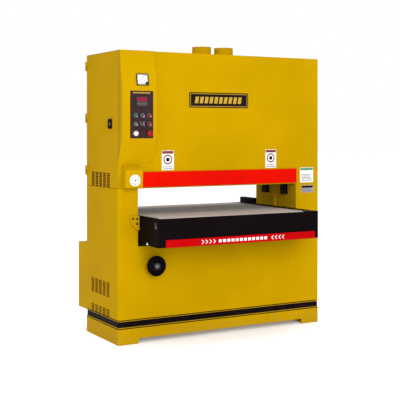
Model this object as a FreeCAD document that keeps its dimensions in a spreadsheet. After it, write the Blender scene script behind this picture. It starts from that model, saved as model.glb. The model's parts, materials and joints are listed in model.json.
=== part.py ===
import FreeCAD, Part
import math
import os
import re
import Sketcher

# A floor-standing wide-belt sander.  +X is right, +Y is back, +Z is up, in millimetres.
# The origin is on the floor, under the middle of the cabinet.

SIZES = {
    # cabinet
    "cab_w": 1496, "cab_d": 496, "cab_h": 1800, "sheet": 3, "plate": 6,
    "base_rise": 107, "band_rise": 36, "band_inset": 3, "foot_w": 137, "foot_gap": 33,
    "anchor_r": 9, "anchor_edge": 60, "pad_t": 12, "pad_side": 110,
    "left_w": 133, "right_w": 182, "corner_r": 22, "throat_top": 953, "deck_z": 598,
    # console
    "console_w": 235, "bulge": 57, "bulge_top": 22, "bulge_hi": 1582, "bulge_lo": 1262,
    "panel_x": 53, "panel_w": 155, "panel_lo": 1262, "panel_hi": 1551, "panel_t": 2,
    "col_one": 86, "col_step": 46, "row_top": 1400, "row_mid": 1348, "row_low": 1291,
    "hole_r": 11.2, "bezel_r": 14.75, "bezel_t": 7, "cap_out": 10, "cap_in": 30,
    "display_x": 92, "display_w": 79, "display_lo": 1454, "display_rise": 64,
    "knob_r": 15, "stop_r": 20, "press_stop": 4,
    "meter_x": 97, "meter_w": 80, "meter_lo": 1584, "meter_rise": 72, "meter_t": 20, "meter_rim": 5,
    # end housing, guard and plates
    "chin_x": 25, "chin_w": 115, "chin_lo": 960, "chin_hi": 1068, "chin_end": 1101, "chin_out": 55,
    "gauge_x": 86, "gauge_z": 1006, "gauge_r": 36, "gauge_t": 6,
    "guard_lo": 960, "guard_hi": 1054, "guard_out": 12, "guard_t": 3,
    "screw_head_r": 7, "screw_head_t": 4, "guard_screw_x": 270, "guard_screw_step": 297,
    "name_x": 491, "name_w": 440, "name_lo": 1456, "name_rise": 97, "label_t": 1,
    "label_x": 296, "label_far": 1067, "label_w": 85, "label_lo": 1062, "label_rise": 123,
    "card_in": 149, "card_w": 110, "card_lo": 958, "card_rise": 102,
    "tag_in": 138, "tag_w": 98, "tag_lo": 890, "tag_rise": 49,
    # table
    "table_z": 790, "table_h": 175, "table_gap": 4, "table_w": 1159, "table_out": 276, "table_back": 152,
    "side_t": 8, "flange_w": 94, "flange_t": 6, "roller_r": 34, "belt_t": 4, "belt_margin": 5,
    "roller_set": 2, "bed_t": 10, "front_t": 5, "front_lip": 3, "beam_w": 60, "beam_rise": 50,
    "strip_x": 180, "strip_w": 1082, "strip_rise": 47, "strip_t": 6, "strip_gap": 4,
    "gusset_w": 61, "gusset_rise": 91, "gusset_t": 8, "gusset_gap": 5, "bracket_t": 42,
    # table lift
    "lift": 150, "lift_x": 511, "screw_r": 15, "nut_r": 34, "sprocket_r": 45, "sprocket_t": 8,
    "nut_rise": 60, "housing_t": 14, "chain_t": 5, "running": 0.08,
    "wheel_r": 64, "wheel_out": 60, "wheel_z": 476, "wheel_shaft_r": 10, "gearbox_w": 60, "gearbox_d": 60,
    # sanding head
    "drum_r": 80, "drum_w": 1100, "drum_z": 1038, "shaft_r": 25, "journal_r": 12.5, "roll_r": 60,
    "centres": 542,
    "abrasive_t": 1.2, "abrasive_w": 1092, "skin": 0.3, "end_t": 16, "end_d": 300,
    "press_r": 25, "press_y": 117, "press_z": 983, "press_shaft_r": 10, "leg_lo": 875, "leg_d": 48,
    "beam_lo": 1160, "beam_hi": 1260, "beam_d": 110, "cylinder_r": 40, "rod_r": 12, "tension": 20,
    "yoke_lo": 1440, "yoke_t": 20, "yoke_rise": 40,
    # drive
    "pulley_w": 60, "drum_pulley_r": 60, "motor_pulley_r": 70,
    "motor_r": 110, "motor_l": 380, "motor_z": 240, "motor_shaft_r": 19, "vee_t": 8, "vee_w": 13,
    # dust ports
    "port_r": 63.5, "port_rise": 66, "port_wall": 2, "port_x": -27, "port_step": 170, "flange_r": 80,
    # electrical cabinet
    "box_w": 300, "box_d": 140, "box_hi": 573, "box_wall": 2, "box_knuckle_r": 4, "gland_r": 14,
    "gland_bore": 8, "gland_l": 25,
    # side door
    "door_lo": 955, "door_gap": 1, "hinge_gap": 0.5, "knuckle_r": 5, "pin_r": 2.5, "knuckle_l": 30,
    "latch_y": 92, "latch_w": 43, "latch_lo": 1321, "latch_rise": 60, "latch_t": 10, "latch_shaft_r": 8,
}

# Planes that many pieces share, worked out from the sizes above.
PLANES = {
    "LEFT": "(-cab_w / 2)",
    "RIGHT": "(cab_w / 2)",
    "FRONT": "(-cab_d / 2)",
    "BACK": "(cab_d / 2)",
    "BAND": "(base_rise + band_rise)",
    "THROAT_L": "(LEFT + left_w)",
    "THROAT_R": "(RIGHT - right_w)",
    "FACE": "(FRONT - bulge)",
    "TABLE_L": "(THROAT_L + table_gap)",
    "TABLE_R": "(TABLE_L + table_w)",
    "TABLE_F": "(FRONT - table_out)",
    "TABLE_B": "(BACK + table_back)",
    "TABLE_LO": "(table_z - table_h)",
    "ROLLER_Z": "(table_z - belt_t - roller_r)",
    "ROLLER_F": "(TABLE_F + front_t + roller_set + belt_t + roller_r)",
    "ROLLER_B": "(TABLE_B - roller_set - belt_t - roller_r)",
    "HEAD_X": "((THROAT_L + THROAT_R) / 2)",
    "END_L": "(THROAT_L + table_gap)",
    "ROLL_Z": "(drum_z + centres)",
    "NUT_LO": "(deck_z - plate - nut_rise)",
    "GEARBOX_Y": "(-(sprocket_r + chain_t + 8))",
    "HINGE_X": "(LEFT - knuckle_r - hinge_gap)",
    "HINGE_Y": "(BACK + 2)",
    "MOTOR_R": "(THROAT_R - 26)",
    "BOX_HINGE_X": "(LEFT + box_w + box_knuckle_r + hinge_gap)",
    "BOX_HINGE_Y": "(BACK + box_d)",
}

doc = FreeCAD.newDocument("wide_belt_sander")
sheet = doc.addObject("Spreadsheet::Sheet", "Sizes")
for row, (alias, number) in enumerate(SIZES.items(), start=1):
    sheet.set(f"A{row}", alias)
    sheet.set(f"B{row}", str(number))
    sheet.setAlias(f"B{row}", alias)
doc.recompute()


def bound(text):
    """Write an expression on the sheet: planes are spelled out and sizes become Sizes.name."""
    text = str(text)
    while any(re.search(rf"\b{plane}\b", text) for plane in PLANES):
        for plane, meaning in PLANES.items():
            text = re.sub(rf"\b{plane}\b", meaning, text)
    return re.sub(r"[a-z_]+", lambda word: f"Sizes.{word[0]}" if word[0] in SIZES else word[0], text)


def value(text):
    """The number that an expression on the sheet gives now."""
    result = sheet.evalExpression(bound(text))
    return float(getattr(result, "Value", result))


def put(piece, x, y, z):
    """Bind a piece's place to the sheet."""
    for corner, text in zip("xyz", (x, y, z)):
        piece.setExpression(f"Placement.Base.{corner}", bound(text))
    return piece


def slab(name, x, y, z):
    """A rectangular block, given as (low, high) on each axis."""
    block = doc.addObject("Part::Box", name)
    for side, (low, high) in zip(("Length", "Width", "Height"), (x, y, z)):
        block.setExpression(side, bound(f"({high}) - ({low})"))
    return put(block, x[0], y[0], z[0])


TURN = {
    "x": FreeCAD.Rotation(FreeCAD.Vector(0, 1, 0), 90),
    "y": FreeCAD.Rotation(FreeCAD.Vector(1, 0, 0), -90),
    "z": FreeCAD.Rotation(),
}


def rod(name, axis, start, radius, length):
    """A round bar from start, along +axis."""
    bar = doc.addObject("Part::Cylinder", name)
    bar.setExpression("Radius", bound(radius))
    bar.setExpression("Height", bound(length))
    bar.Placement.Rotation = TURN[axis]
    return put(bar, *start)


def cut(name, base, *tools):
    """The base with every tool taken away."""
    result = doc.addObject("Part::Cut", name)
    result.Base = base
    result.Tool = tools[0] if len(tools) == 1 else group(f"{name}_tools", *tools)
    return result


def fuse(name, *parts):
    """One solid from parts that meet."""
    result = doc.addObject("Part::MultiFuse", name)
    result.Shapes = list(parts)
    result.Refine = True
    return result


def group(name, *parts):
    """Separate solids kept together."""
    result = doc.addObject("Part::Compound", name)
    result.Links = list(parts)
    return result


def sketch_on(body, plane, outline, circles=()):
    """A sketch on an origin plane: a closed outline and circles, all held by sizes on the sheet."""
    sketch = body.newObject("Sketcher::SketchObject", f"{body.Name}_sketch")
    planes = [item for item in body.Origin.OriginFeatures if item.Role == f"{plane}_Plane"]
    sketch.AttachmentSupport = (planes[0], [""])
    sketch.MapMode = "FlatFace"
    corners = [FreeCAD.Vector(value(x), value(y), 0) for x, y in outline]
    for here, there in zip(corners, corners[1:] + corners[:1]):
        sketch.addGeometry(Part.LineSegment(here, there), False)
    last = len(corners) - 1
    for index in range(len(corners)):
        before = last if index == 0 else index - 1
        sketch.addConstraint(Sketcher.Constraint("Coincident", before, 2, index, 1))
    for index, (x, y) in enumerate(outline):
        for kind, text, number in (("DistanceX", x, corners[index].x), ("DistanceY", y, corners[index].y)):
            held = sketch.addConstraint(Sketcher.Constraint(kind, -1, 1, index, 1, number))
            sketch.setExpression(f"Constraints[{held}]", bound(text))
    for x, y, radius in circles:
        centre = FreeCAD.Vector(value(x), value(y), 0)
        ring = Part.Circle(centre, FreeCAD.Vector(0, 0, 1), value(radius))
        index = sketch.addGeometry(ring, False)
        for kind, text, number in (("DistanceX", x, centre.x), ("DistanceY", y, centre.y)):
            held = sketch.addConstraint(Sketcher.Constraint(kind, -1, 1, index, 3, number))
            sketch.setExpression(f"Constraints[{held}]", bound(text))
        held = sketch.addConstraint(Sketcher.Constraint("Radius", index, value(radius)))
        sketch.setExpression(f"Constraints[{held}]", bound(radius))
    return sketch


def padded(name, plane, outline, start, length, circles=()):
    """A plate: an outline on a plane, padded along its normal from start.

    The normals are +Z for XY, -Y for XZ and +X for YZ.
    """
    body = doc.addObject("PartDesign::Body", name)
    sketch = sketch_on(body, plane, outline, circles)
    pad = body.newObject("PartDesign::Pad", f"{name}_pad")
    pad.Profile = sketch
    pad.setExpression("Length", bound(length))
    place = {"XY": ("0", "0", start), "XZ": ("0", start, "0"), "YZ": (start, "0", "0")}
    return put(body, *place[plane])


def turned(name, profile, axis, centre):
    """A lathe piece: (radius, distance along) corners turned about the axis through centre."""
    body = doc.addObject("PartDesign::Body", name)
    sketch = sketch_on(body, "XZ", profile)
    turn = body.newObject("PartDesign::Revolution", f"{name}_turn")
    turn.Profile = sketch
    turn.ReferenceAxis = (sketch, ["V_Axis"])
    turn.Angle = 360
    body.Placement.Rotation = TURN[axis]
    return put(body, *centre)


def loop(name, axis, start, width, wheels, thickness):
    """A belt or chain round two wheels.

    Each wheel is (u, v, radius) in the plane across the axis, where (u, v) is (Y, Z) for
    an X axis and (X, Y) for a Z axis.  The inner face is two arcs and two tangent runs.
    """
    (u1, v1, r1), (u2, v2, r2) = [[value(item) for item in wheel] for wheel in wheels]
    span = math.hypot(u2 - u1, v2 - v1)
    heading = math.atan2(v2 - v1, u2 - u1)
    lean = math.acos((r1 - r2) / span)

    def wire(extra):
        def at(u, v, radius, angle):
            u += radius * math.cos(angle)
            v += radius * math.sin(angle)
            return FreeCAD.Vector(0, u, v) if axis == "x" else FreeCAD.Vector(u, v, 0)
        a, b = r1 + extra, r2 + extra
        side = heading + lean
        other = heading - lean
        edges = [
            Part.Arc(at(u1, v1, a, side), at(u1, v1, a, heading + math.pi), at(u1, v1, a, other)).toShape(),
            Part.LineSegment(at(u1, v1, a, other), at(u2, v2, b, other)).toShape(),
            Part.Arc(at(u2, v2, b, other), at(u2, v2, b, heading), at(u2, v2, b, side)).toShape(),
            Part.LineSegment(at(u2, v2, b, side), at(u1, v1, a, side)).toShape(),
        ]
        return Part.Wire(edges)

    band = Part.Face([wire(value(thickness)), wire(0)], "Part::FaceMakerBullseye")
    along = FreeCAD.Vector(1, 0, 0) if axis == "x" else FreeCAD.Vector(0, 0, 1)
    piece = doc.addObject("Part::Feature", name)
    piece.Shape = band.extrude(along * value(width))
    return put(piece, *((start, "0", "0") if axis == "x" else ("0", "0", start)))


def around(low, high, inset):
    """A (low, high) pair moved in by inset at both ends."""
    return f"{low} + {inset}", f"{high} - {inset}"


ACROSS = ("LEFT", "RIGHT")
DEEP = ("FRONT", "BACK")


# ---- base -------------------------------------------------------------------------------

def base_plinth():
    """A folded box, open underneath and cut away between its feet, with bored pads in its corners."""
    outside = slab("plinth_outside", ACROSS, DEEP, ("0", "base_rise"))
    inside = slab(
        "plinth_inside", around(*ACROSS, "plate"), around(*DEEP, "plate"), ("-1", "base_rise - plate"),
    )
    between = slab("plinth_gap", around(*ACROSS, "foot_w"), ("FRONT - 1", "BACK + 1"), ("-1", "foot_gap"))
    pads, holes = [], []
    for side in (-1, 1):
        for end in (-1, 1):
            corner = f"{side} * (cab_w / 2 - plate)", f"{end} * (cab_d / 2 - plate)"
            inner = f"{corner[0]} - {side} * pad_side", f"{corner[1]} - {end} * pad_side"
            x, y = [sorted(pair, key=value) for pair in zip(corner, inner)]
            tag = f"{side + 1}{end + 1}"
            at = (f"{side} * (cab_w / 2 - anchor_edge)", f"{end} * (cab_d / 2 - anchor_edge)", "-1")
            pads.append(slab(f"pad_{tag}", x, y, ("0", "pad_t")))
            holes.append(rod(f"pad_hole_{tag}", "z", at, "anchor_r", "pad_t + 2"))
    return cut(
        "base_plinth", fuse("plinth_welded", cut("plinth_box", outside, inside, between), *pads),
        *holes,
    )


def base_band():
    """The recessed channel round the base, in four strips."""
    z = ("base_rise", "BAND")
    x = around(*ACROSS, "band_inset")
    y = around(*DEEP, "band_inset")
    inner_y = around(*DEEP, "(band_inset + plate)")
    return group(
        "base_band",
        slab("band_front", x, (y[0], inner_y[0]), z),
        slab("band_rear", x, (inner_y[1], y[1]), z),
        slab("band_left", (x[0], f"{x[0]} + plate"), inner_y, z),
        slab("band_right", (f"{x[1]} - plate", x[1]), inner_y, z),
    )


# ---- cabinet ----------------------------------------------------------------------------

def lower_panels():
    """Front and rear sheets between the columns; the front one lets the handwheel shaft through."""
    x = ("THROAT_L", "THROAT_R")
    z = ("BAND", "deck_z")
    front = slab("lower_front", x, ("FRONT", "FRONT + sheet"), z)
    hole = rod("wheel_hole", "y", ("-lift_x", "FRONT - 1", "wheel_z"), "wheel_shaft_r + 1", "sheet + 2")
    rear = slab("lower_rear", x, ("BACK - sheet", "BACK"), z)
    return group("lower_panels", cut("lower_front_bored", front, hole), rear)


def deck_plate():
    """The lower cabinet's top, bored for the two lift screws."""
    holes = [
        (f"{side} * lift_x", "0", "screw_r + 2")
        for side in (-1, 1)
    ]
    x = around("THROAT_L", "THROAT_R", "0")
    y = around(*DEEP, "sheet")
    outline = [(x[0], y[0]), (x[1], y[0]), (x[1], y[1]), (x[0], y[1])]
    return padded("deck_plate", "XY", outline, "deck_z - plate", "plate", holes)


def left_column():
    """A tube of folded plate whose outer front corner is bent to a radius."""
    x = ("LEFT", "THROAT_L")
    outline = [(x[0], "FRONT"), (x[1], "FRONT"), (x[1], "BACK"), (x[0], "BACK")]
    body = padded("left_column", "XY", outline, "BAND", "throat_top - BAND")
    doc.recompute()
    pad = body.Tip
    corner = FreeCAD.Vector(value("LEFT"), value("FRONT"), 0)
    upright = [
        f"Edge{number}" for number, edge in enumerate(pad.Shape.Edges, start=1)
        if all(math.hypot(end.X - corner.x, end.Y - corner.y) < 0.01 for end in edge.Vertexes)
    ]
    bend = body.newObject("PartDesign::Fillet", "column_bend")
    bend.Base = (pad, upright)
    bend.setExpression("Radius", bound("corner_r"))
    hollow = sketch_on(body, "XY", [
        (f"{x[0]} + corner_r", f"FRONT + sheet"), (f"{x[1]} - sheet", "FRONT + sheet"),
        (f"{x[1]} - sheet", "BACK - sheet"), (f"{x[0]} + sheet", "BACK - sheet"),
        (f"{x[0]} + sheet", "FRONT + corner_r"),
    ])
    pocket = body.newObject("PartDesign::Pocket", "column_hollow")
    pocket.Profile = hollow
    pocket.Type = "ThroughAll"
    pocket.Midplane = True
    return body


def right_column():
    """Four sheets, with the drum and motor shafts' holes in the inner one, and a post on its face."""
    z = ("BAND", "cab_h - sheet")
    x = ("THROAT_R", "RIGHT")
    inner = slab("column_inner", (x[0], f"{x[0]} + sheet"), around(*DEEP, "sheet"), z)
    shaft = rod("drum_hole", "x", (f"{x[0]} - 1", "0", "drum_z"), "shaft_r + 2", "sheet + 2")
    motor = rod("motor_hole", "x", (f"{x[0]} - 1", "0", "motor_z"), "motor_shaft_r + 2", "sheet + 2")
    post = slab("guide_post", ("THROAT_R - 12", "THROAT_R"), ("-12", "24"), ("deck_z", "leg_lo - 4"))
    return group(
        "right_column",
        cut("column_inner_bored", inner, shaft, motor),
        post,
        slab("column_front", x, ("FRONT", "FRONT + sheet"), ("BAND", "throat_top")),
        slab("column_rear", x, ("BACK - sheet", "BACK"), ("BAND", "throat_top")),
        slab("column_outer", (f"{x[1]} - sheet", x[1]), around(*DEEP, "sheet"), z),
    )


def head_front_cover():
    """The flat sheet over the head's front, right of the console."""
    return slab(
        "head_front_cover", ("LEFT + console_w", "RIGHT"), ("FRONT", "FRONT + sheet"),
        ("throat_top", "cab_h"),
    )


def hinge_heights():
    """Lowest point of each hinge of the belt-change door."""
    return [f"door_lo + {share} * (cab_h - door_lo)" for share in (0.08, 0.48, 0.88)]


def head_rear_cover():
    """The sheet over the head's back, with the fixed half of each door hinge welded on."""
    sheet_piece = slab("rear_sheet", ACROSS, ("BACK - sheet", "BACK"), ("throat_top", "cab_h"))
    parts = [sheet_piece]
    for index, low in enumerate(hinge_heights()):
        z = (low, f"{low} + knuckle_l")
        parts.append(
            rod(f"hinge_knuckle_{index}", "z", ("HINGE_X", "HINGE_Y", low), "knuckle_r", "knuckle_l"),
        )
        parts.append(rod(f"hinge_pin_{index}", "z", ("HINGE_X", "HINGE_Y", low), "pin_r", "2 * knuckle_l"))
        parts.append(slab(f"hinge_leaf_{index}", ("HINGE_X", "LEFT + 28"), ("BACK", "BACK + 2"), z))
    return fuse("head_rear_cover", *parts)


def port_place(index):
    """A dust port's centre."""
    return f"port_x + {index} * port_step", "0"


def head_top_cover():
    """The roof, bored for the two dust ports."""
    x = around(*ACROSS, "0")
    y = around(*DEEP, "sheet")
    outline = [(x[0], y[0]), (x[1], y[0]), (x[1], y[1]), (x[0], y[1])]
    bores = [(*port_place(index), "port_r - port_wall") for index in range(2)]
    return padded("head_top_cover", "XY", outline, "cab_h - sheet", "sheet", bores)


def dust_ports():
    """Two flanged spigots for suction hoses."""
    profile = [
        ("port_r - port_wall", "0"), ("flange_r", "0"), ("flange_r", "sheet"),
        ("port_r", "sheet"), ("port_r", "port_rise"), ("port_r - port_wall", "port_rise"),
    ]
    ports = [turned(f"port_{index}", profile, "z", (*port_place(index), "cab_h")) for index in range(2)]
    return group("dust_ports", *ports)


# ---- console ----------------------------------------------------------------------------

def controls():
    """Column and row of each control on the panel: its name and centre."""
    names = (
        ("start_button", 0, "row_top"), ("feed_button", 1, "row_top"), ("stop_button", 2, "row_top"),
        ("reverse_button", 0, "row_mid"), ("mode_selector", 1, "row_mid"),
        ("feed_stop_button", 2, "row_mid"),
        ("speed_knob", 0, "row_low"), ("emergency_stop", 2, "row_low"),
    )
    return {name: (f"LEFT + col_one + {column} * col_step", row) for name, column, row in names}


def control_holes(name, depth):
    """Bars that bore every control's hole."""
    return [
        rod(f"{name}_{control}", "y", (x, "FACE - panel_t - 1", z), "hole_r", depth)
        for control, (x, z) in controls().items()
    ]


def console_cover():
    """A folded cover that bulges forward, hollow behind, with the controls' holes."""
    outer = [
        ("FRONT + sheet", "throat_top"), ("FRONT", "throat_top"), ("FRONT", "chin_end"),
        ("FACE", "bulge_lo"), ("FACE", "bulge_hi"), ("FRONT - bulge_top", "cab_h"),
        ("FRONT + sheet", "cab_h"),
    ]
    inner = [
        ("FRONT + sheet + 1", "chin_end + sheet"), ("FRONT + sheet", "chin_end + sheet"),
        ("FACE + sheet", "bulge_lo"), ("FACE + sheet", "bulge_hi"),
        ("FRONT - bulge_top + sheet", "cab_h - sheet"), ("FRONT + sheet + 1", "cab_h - sheet"),
    ]
    skin = padded("console_skin", "YZ", outer, "LEFT", "console_w")
    hollow = padded("console_hollow", "YZ", inner, "LEFT + sheet", "console_w - 2 * sheet")
    return cut("console_cover", skin, hollow, *control_holes("console", "panel_t + sheet + 2"))


def control_panel():
    """The panel plate, bored like the cover behind it."""
    x = "LEFT + panel_x"
    plate = slab("panel_plate", (x, f"{x} + panel_w"), ("FACE - panel_t", "FACE"), ("panel_lo", "panel_hi"))
    return cut("control_panel", plate, *control_holes("panel", "panel_t + 1"))


def panel_fittings():
    """The display's window frame and a bezel round each control."""
    ring = [
        ("hole_r", "0"), ("bezel_r", "0"), ("bezel_r", "bezel_t - 1"), ("bezel_r - 1", "bezel_t"),
        ("hole_r", "bezel_t"),
    ]
    pieces = [slab(
        "display_frame", ("LEFT + display_x", "LEFT + display_x + display_w"),
        ("FACE - panel_t - 4", "FACE - panel_t"), ("display_lo", "display_lo + display_rise"),
    )]
    for name, (x, z) in controls().items():
        pieces.append(turned(f"bezel_{name}", ring, "y", (x, "FACE - panel_t", z)))
        pieces[-1].Placement.Rotation = FreeCAD.Rotation(FreeCAD.Vector(1, 0, 0), 90)
    return group("panel_fittings", *pieces)


def facing(piece):
    """Turn a lathe piece so that it points at the operator."""
    piece.Placement.Rotation = FreeCAD.Rotation(FreeCAD.Vector(1, 0, 0), 90)
    return piece


def push_button(name):
    """A round cap on its plunger; it stands proud of its bezel and goes in by the press."""
    x, z = controls()[name]
    reach = "hole_r - running"
    profile = [
        ("0", "-cap_in"), (reach, "-cap_in"), (reach, "cap_out - 1"), (f"{reach} - 1", "cap_out"),
        ("0", "cap_out"),
    ]
    return facing(turned(name, profile, "y", (x, "FACE - panel_t", z)))


def turning_knob(name, radius, reach):
    """A knob in front of its bezel with a spindle through it."""
    x, z = controls()[name]
    spindle = "hole_r - running"
    profile = [
        ("0", "-cap_in"), (spindle, "-cap_in"), (spindle, "bezel_t + 0.5"), (radius, "bezel_t + 0.5"),
        (radius, f"{reach} - 2"), (f"{radius} - 2", reach), ("0", reach),
    ]
    knob = facing(turned(f"{name}_body", profile, "y", (x, "FACE - panel_t", z)))
    front = f"FACE - panel_t - {reach}"
    bar = slab(f"{name}_bar", (f"{x} - 2", f"{x} + 2"), (f"{front} - 6", front), (f"{z} - 9", f"{z} + 9"))
    return fuse(name, knob, bar)


def emergency_stop():
    """A mushroom head on a plunger."""
    x, z = controls()["emergency_stop"]
    stem = "hole_r - running"
    back = "bezel_t + press_stop + 1"
    profile = [
        ("0", "-cap_in"), (stem, "-cap_in"), (stem, back), ("stop_r", back), ("stop_r", f"{back} + 8"),
        ("stop_r - 5", f"{back} + 13"), ("0", f"{back} + 15"),
    ]
    return facing(turned("emergency_stop", profile, "y", (x, "FACE - panel_t", z)))


def meter_tilt():
    """Degrees that the console's upper slope leans back."""
    return math.degrees(math.atan2(value("bulge - bulge_top"), value("cab_h - bulge_hi")))


def on_slope(piece):
    """Lean a piece drawn upright at the top of the bulge back on to the slope."""
    hinge = FreeCAD.Vector(0, value("FACE"), value("bulge_hi"))
    lean = FreeCAD.Placement(
        FreeCAD.Vector(), FreeCAD.Rotation(FreeCAD.Vector(-1, 0, 0), meter_tilt()), hinge,
    )
    leaned = doc.addObject("Part::Feature", f"{piece.Name}_leaned")
    doc.recompute()
    leaned.Shape = piece.Shape
    leaned.Placement = lean.multiply(leaned.Placement)
    return leaned


def ammeter_case():
    """A square panel meter's case with a shallow recess for its dial."""
    x = around("LEFT + meter_x", "LEFT + meter_x + meter_w", "0")
    z = ("meter_lo", "meter_lo + meter_rise")
    case = slab("meter_block", x, ("FACE - meter_t / 2", "FACE - 0.01"), z)
    dial = slab(
        "meter_recess", around(*x, "meter_rim"), ("FACE - meter_t / 2 - 1", "FACE - meter_t / 2 + 6"),
        around(*z, "meter_rim"),
    )
    case = on_slope(cut("meter_upright", case, dial))
    case.Label = "ammeter_case"
    return case


def ammeter_needle():
    """A thin pointer whose pivot is at the dial's lower right corner."""
    tip = 46
    pivot_x = "LEFT + meter_x + meter_w - meter_rim - 9"
    pivot_z = "meter_lo + meter_rim + 9"
    hub = rod("needle_hub", "y", (pivot_x, "FACE - meter_t / 2 + 2", pivot_z), "4", "3")
    arm = slab(
        "needle_arm", (f"{pivot_x} - {tip}", pivot_x),
        ("FACE - meter_t / 2 + 3", "FACE - meter_t / 2 + 4"), (f"{pivot_z} - 0.8", f"{pivot_z} + 0.8"),
    )
    needle = on_slope(fuse("needle_upright", hub, arm))
    needle.Label = "ammeter_needle"
    return needle


# ---- front fittings ---------------------------------------------------------------------

def left_end_housing():
    """The cover over the drum's removable end support."""
    outer = [
        ("FRONT", "chin_lo"), ("FRONT", "chin_end"), ("FRONT - chin_out", "chin_hi"),
        ("FRONT - chin_out", "chin_lo"),
    ]
    inner = [
        ("FRONT + 1", "chin_lo + sheet"), ("FRONT + 1", "chin_end - 3 * sheet"),
        ("FRONT - chin_out + sheet", "chin_hi - 2 * sheet"),
        ("FRONT - chin_out + sheet", "chin_lo + sheet"),
    ]
    shell = padded("chin_shell", "YZ", outer, "LEFT + chin_x", "chin_w")
    hollow = padded("chin_hollow", "YZ", inner, "LEFT + chin_x + sheet", "chin_w - 2 * sheet")
    return cut("left_end_housing", shell, hollow)


def gauge_disc():
    """The round white gauge on the end housing."""
    profile = [
        ("0", "0"), ("gauge_r", "0"), ("gauge_r", "gauge_t - 2"), ("gauge_r - 2", "gauge_t"),
        ("0", "gauge_t"),
    ]
    return facing(turned("gauge_disc", profile, "y", ("LEFT + gauge_x", "FRONT - chin_out", "gauge_z")))


def infeed_guard():
    """A channel of folded sheet across the top of the throat."""
    face = "FRONT - guard_out"
    outline = [
        (face, "guard_lo"), ("FRONT", "guard_lo"), ("FRONT", "guard_lo + guard_t"),
        (f"{face} + guard_t", "guard_lo + guard_t"),
        (f"{face} + guard_t", "guard_hi - guard_t"), ("FRONT", "guard_hi - guard_t"),
        ("FRONT", "guard_hi"), (face, "guard_hi"),
    ]
    return padded(
        "infeed_guard", "YZ", outline, "LEFT + chin_x + chin_w + 1",
        "THROAT_R - 3 - (LEFT + chin_x + chin_w + 1)",
    )


def guard_screws():
    """Four round heads along the guard."""
    heads = []
    for index in range(4):
        x = f"LEFT + guard_screw_x + {index} * guard_screw_step"
        profile = [
            ("0", "0"), ("screw_head_r", "0"), ("screw_head_r - 2", "screw_head_t"),
            ("0", "screw_head_t"),
        ]
        head = turned(
            f"guard_screw_{index}", profile, "y", (x, "FRONT - guard_out", "(guard_lo + guard_hi) / 2"),
        )
        heads.append(facing(head))
    return group("guard_screws", *heads)


def info_plates():
    """The nameplate and the instruction labels: thin blank plates."""
    y = ("FRONT - label_t", "FRONT")
    spans = {
        "name_plate": (("name_x", "name_x + name_w"), ("name_lo", "name_lo + name_rise")),
        "label_left": (("label_x", "label_x + label_w"), ("label_lo", "label_lo + label_rise")),
        "label_middle": (("label_far", "label_far + label_w"), ("label_lo", "label_lo + label_rise")),
        "label_upper": (
            ("cab_w - card_in", "cab_w - card_in + card_w"), ("card_lo", "card_lo + card_rise"),
        ),
        "label_lower": (("cab_w - tag_in", "cab_w - tag_in + tag_w"), ("tag_lo", "tag_lo + tag_rise")),
    }
    plates = [
        slab(name, (f"LEFT + {x[0]}", f"LEFT + {x[1]}"), y, z)
        for name, (x, z) in spans.items()
    ]
    return group("info_plates", *plates)


# ---- conveyor table ---------------------------------------------------------------------

def belt_span():
    """The two edges of the feed belt."""
    return "TABLE_L + side_t + belt_margin", "TABLE_R - flange_w - belt_margin"


def table_frame():
    """Side plates joined by three cross beams; a wide flange on the right covers the roller bearings."""
    y = ("TABLE_F + front_t", "TABLE_B")
    z = ("TABLE_LO", "table_z - 2")
    inner = "TABLE_R - flange_w"
    flange_x = (f"{inner} + flange_t", "TABLE_R - side_t")
    parts = [
        slab("table_side_left", ("TABLE_L", "TABLE_L + side_t"), y, z),
        slab("table_side_right", ("TABLE_R - side_t", "TABLE_R"), y, z),
        slab("table_side_inner", (inner, f"{inner} + flange_t"), y, z),
        slab("table_flange", flange_x, y, ("table_z - 2 - flange_t", "table_z - 2")),
    ]
    across = ("TABLE_L + side_t", "TABLE_R - side_t")
    rise = ("TABLE_LO", "TABLE_LO + beam_rise")
    for index, middle in enumerate(("-cab_d / 2", "0", "cab_d / 2")):
        depth = (f"{middle} - beam_w / 2", f"{middle} + beam_w / 2")
        parts.append(slab(f"table_beam_{index}", across, depth, rise))
    bores = [
        rod(f"table_bore_{tag}", "x", ("TABLE_L - 1", at, "ROLLER_Z"), "journal_r + running", "table_w + 2")
        for tag, at in (("front", "ROLLER_F"), ("rear", "ROLLER_B"))
    ]
    return cut("table_frame", fuse("table_frame_welded", *parts), *bores)


def table_bed():
    """The flat plate that carries the belt's upper run."""
    x = ("TABLE_L + side_t", "TABLE_R - flange_w")
    y = ("ROLLER_F + roller_r + belt_t + 4", "ROLLER_B - roller_r - belt_t - 4")
    top = "table_z - belt_t - skin"
    return slab("table_bed", x, y, (f"{top} - bed_t", top))


def table_front():
    """The cover across the table's front, up to the belt."""
    y = ("TABLE_F", "TABLE_F + front_t")
    return slab("table_front_cover", ("TABLE_L", "TABLE_R"), y, ("TABLE_LO", "table_z - front_lip"))


def conveyor_roller(name, place, reach):
    """A rubber-covered roller between the table's side plates; reach lengthens its right journal."""
    start, end = "TABLE_L", f"TABLE_R + {reach}"
    face = belt_span()
    profile = [
        ("0", start), ("journal_r", start), ("journal_r", face[0]), ("roller_r", face[0]),
        ("roller_r", face[1]), ("journal_r", face[1]), ("journal_r", end), ("0", end),
    ]
    return turned(name, profile, "x", ("0", place, "ROLLER_Z"))


def conveyor_belt():
    """The rubber feed belt round both rollers."""
    left, right = belt_span()
    wheels = [("ROLLER_F", "ROLLER_Z", "roller_r + skin"), ("ROLLER_B", "ROLLER_Z", "roller_r + skin")]
    return loop("conveyor_belt", "x", left, f"({right}) - ({left})", wheels, "belt_t - skin")


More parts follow.
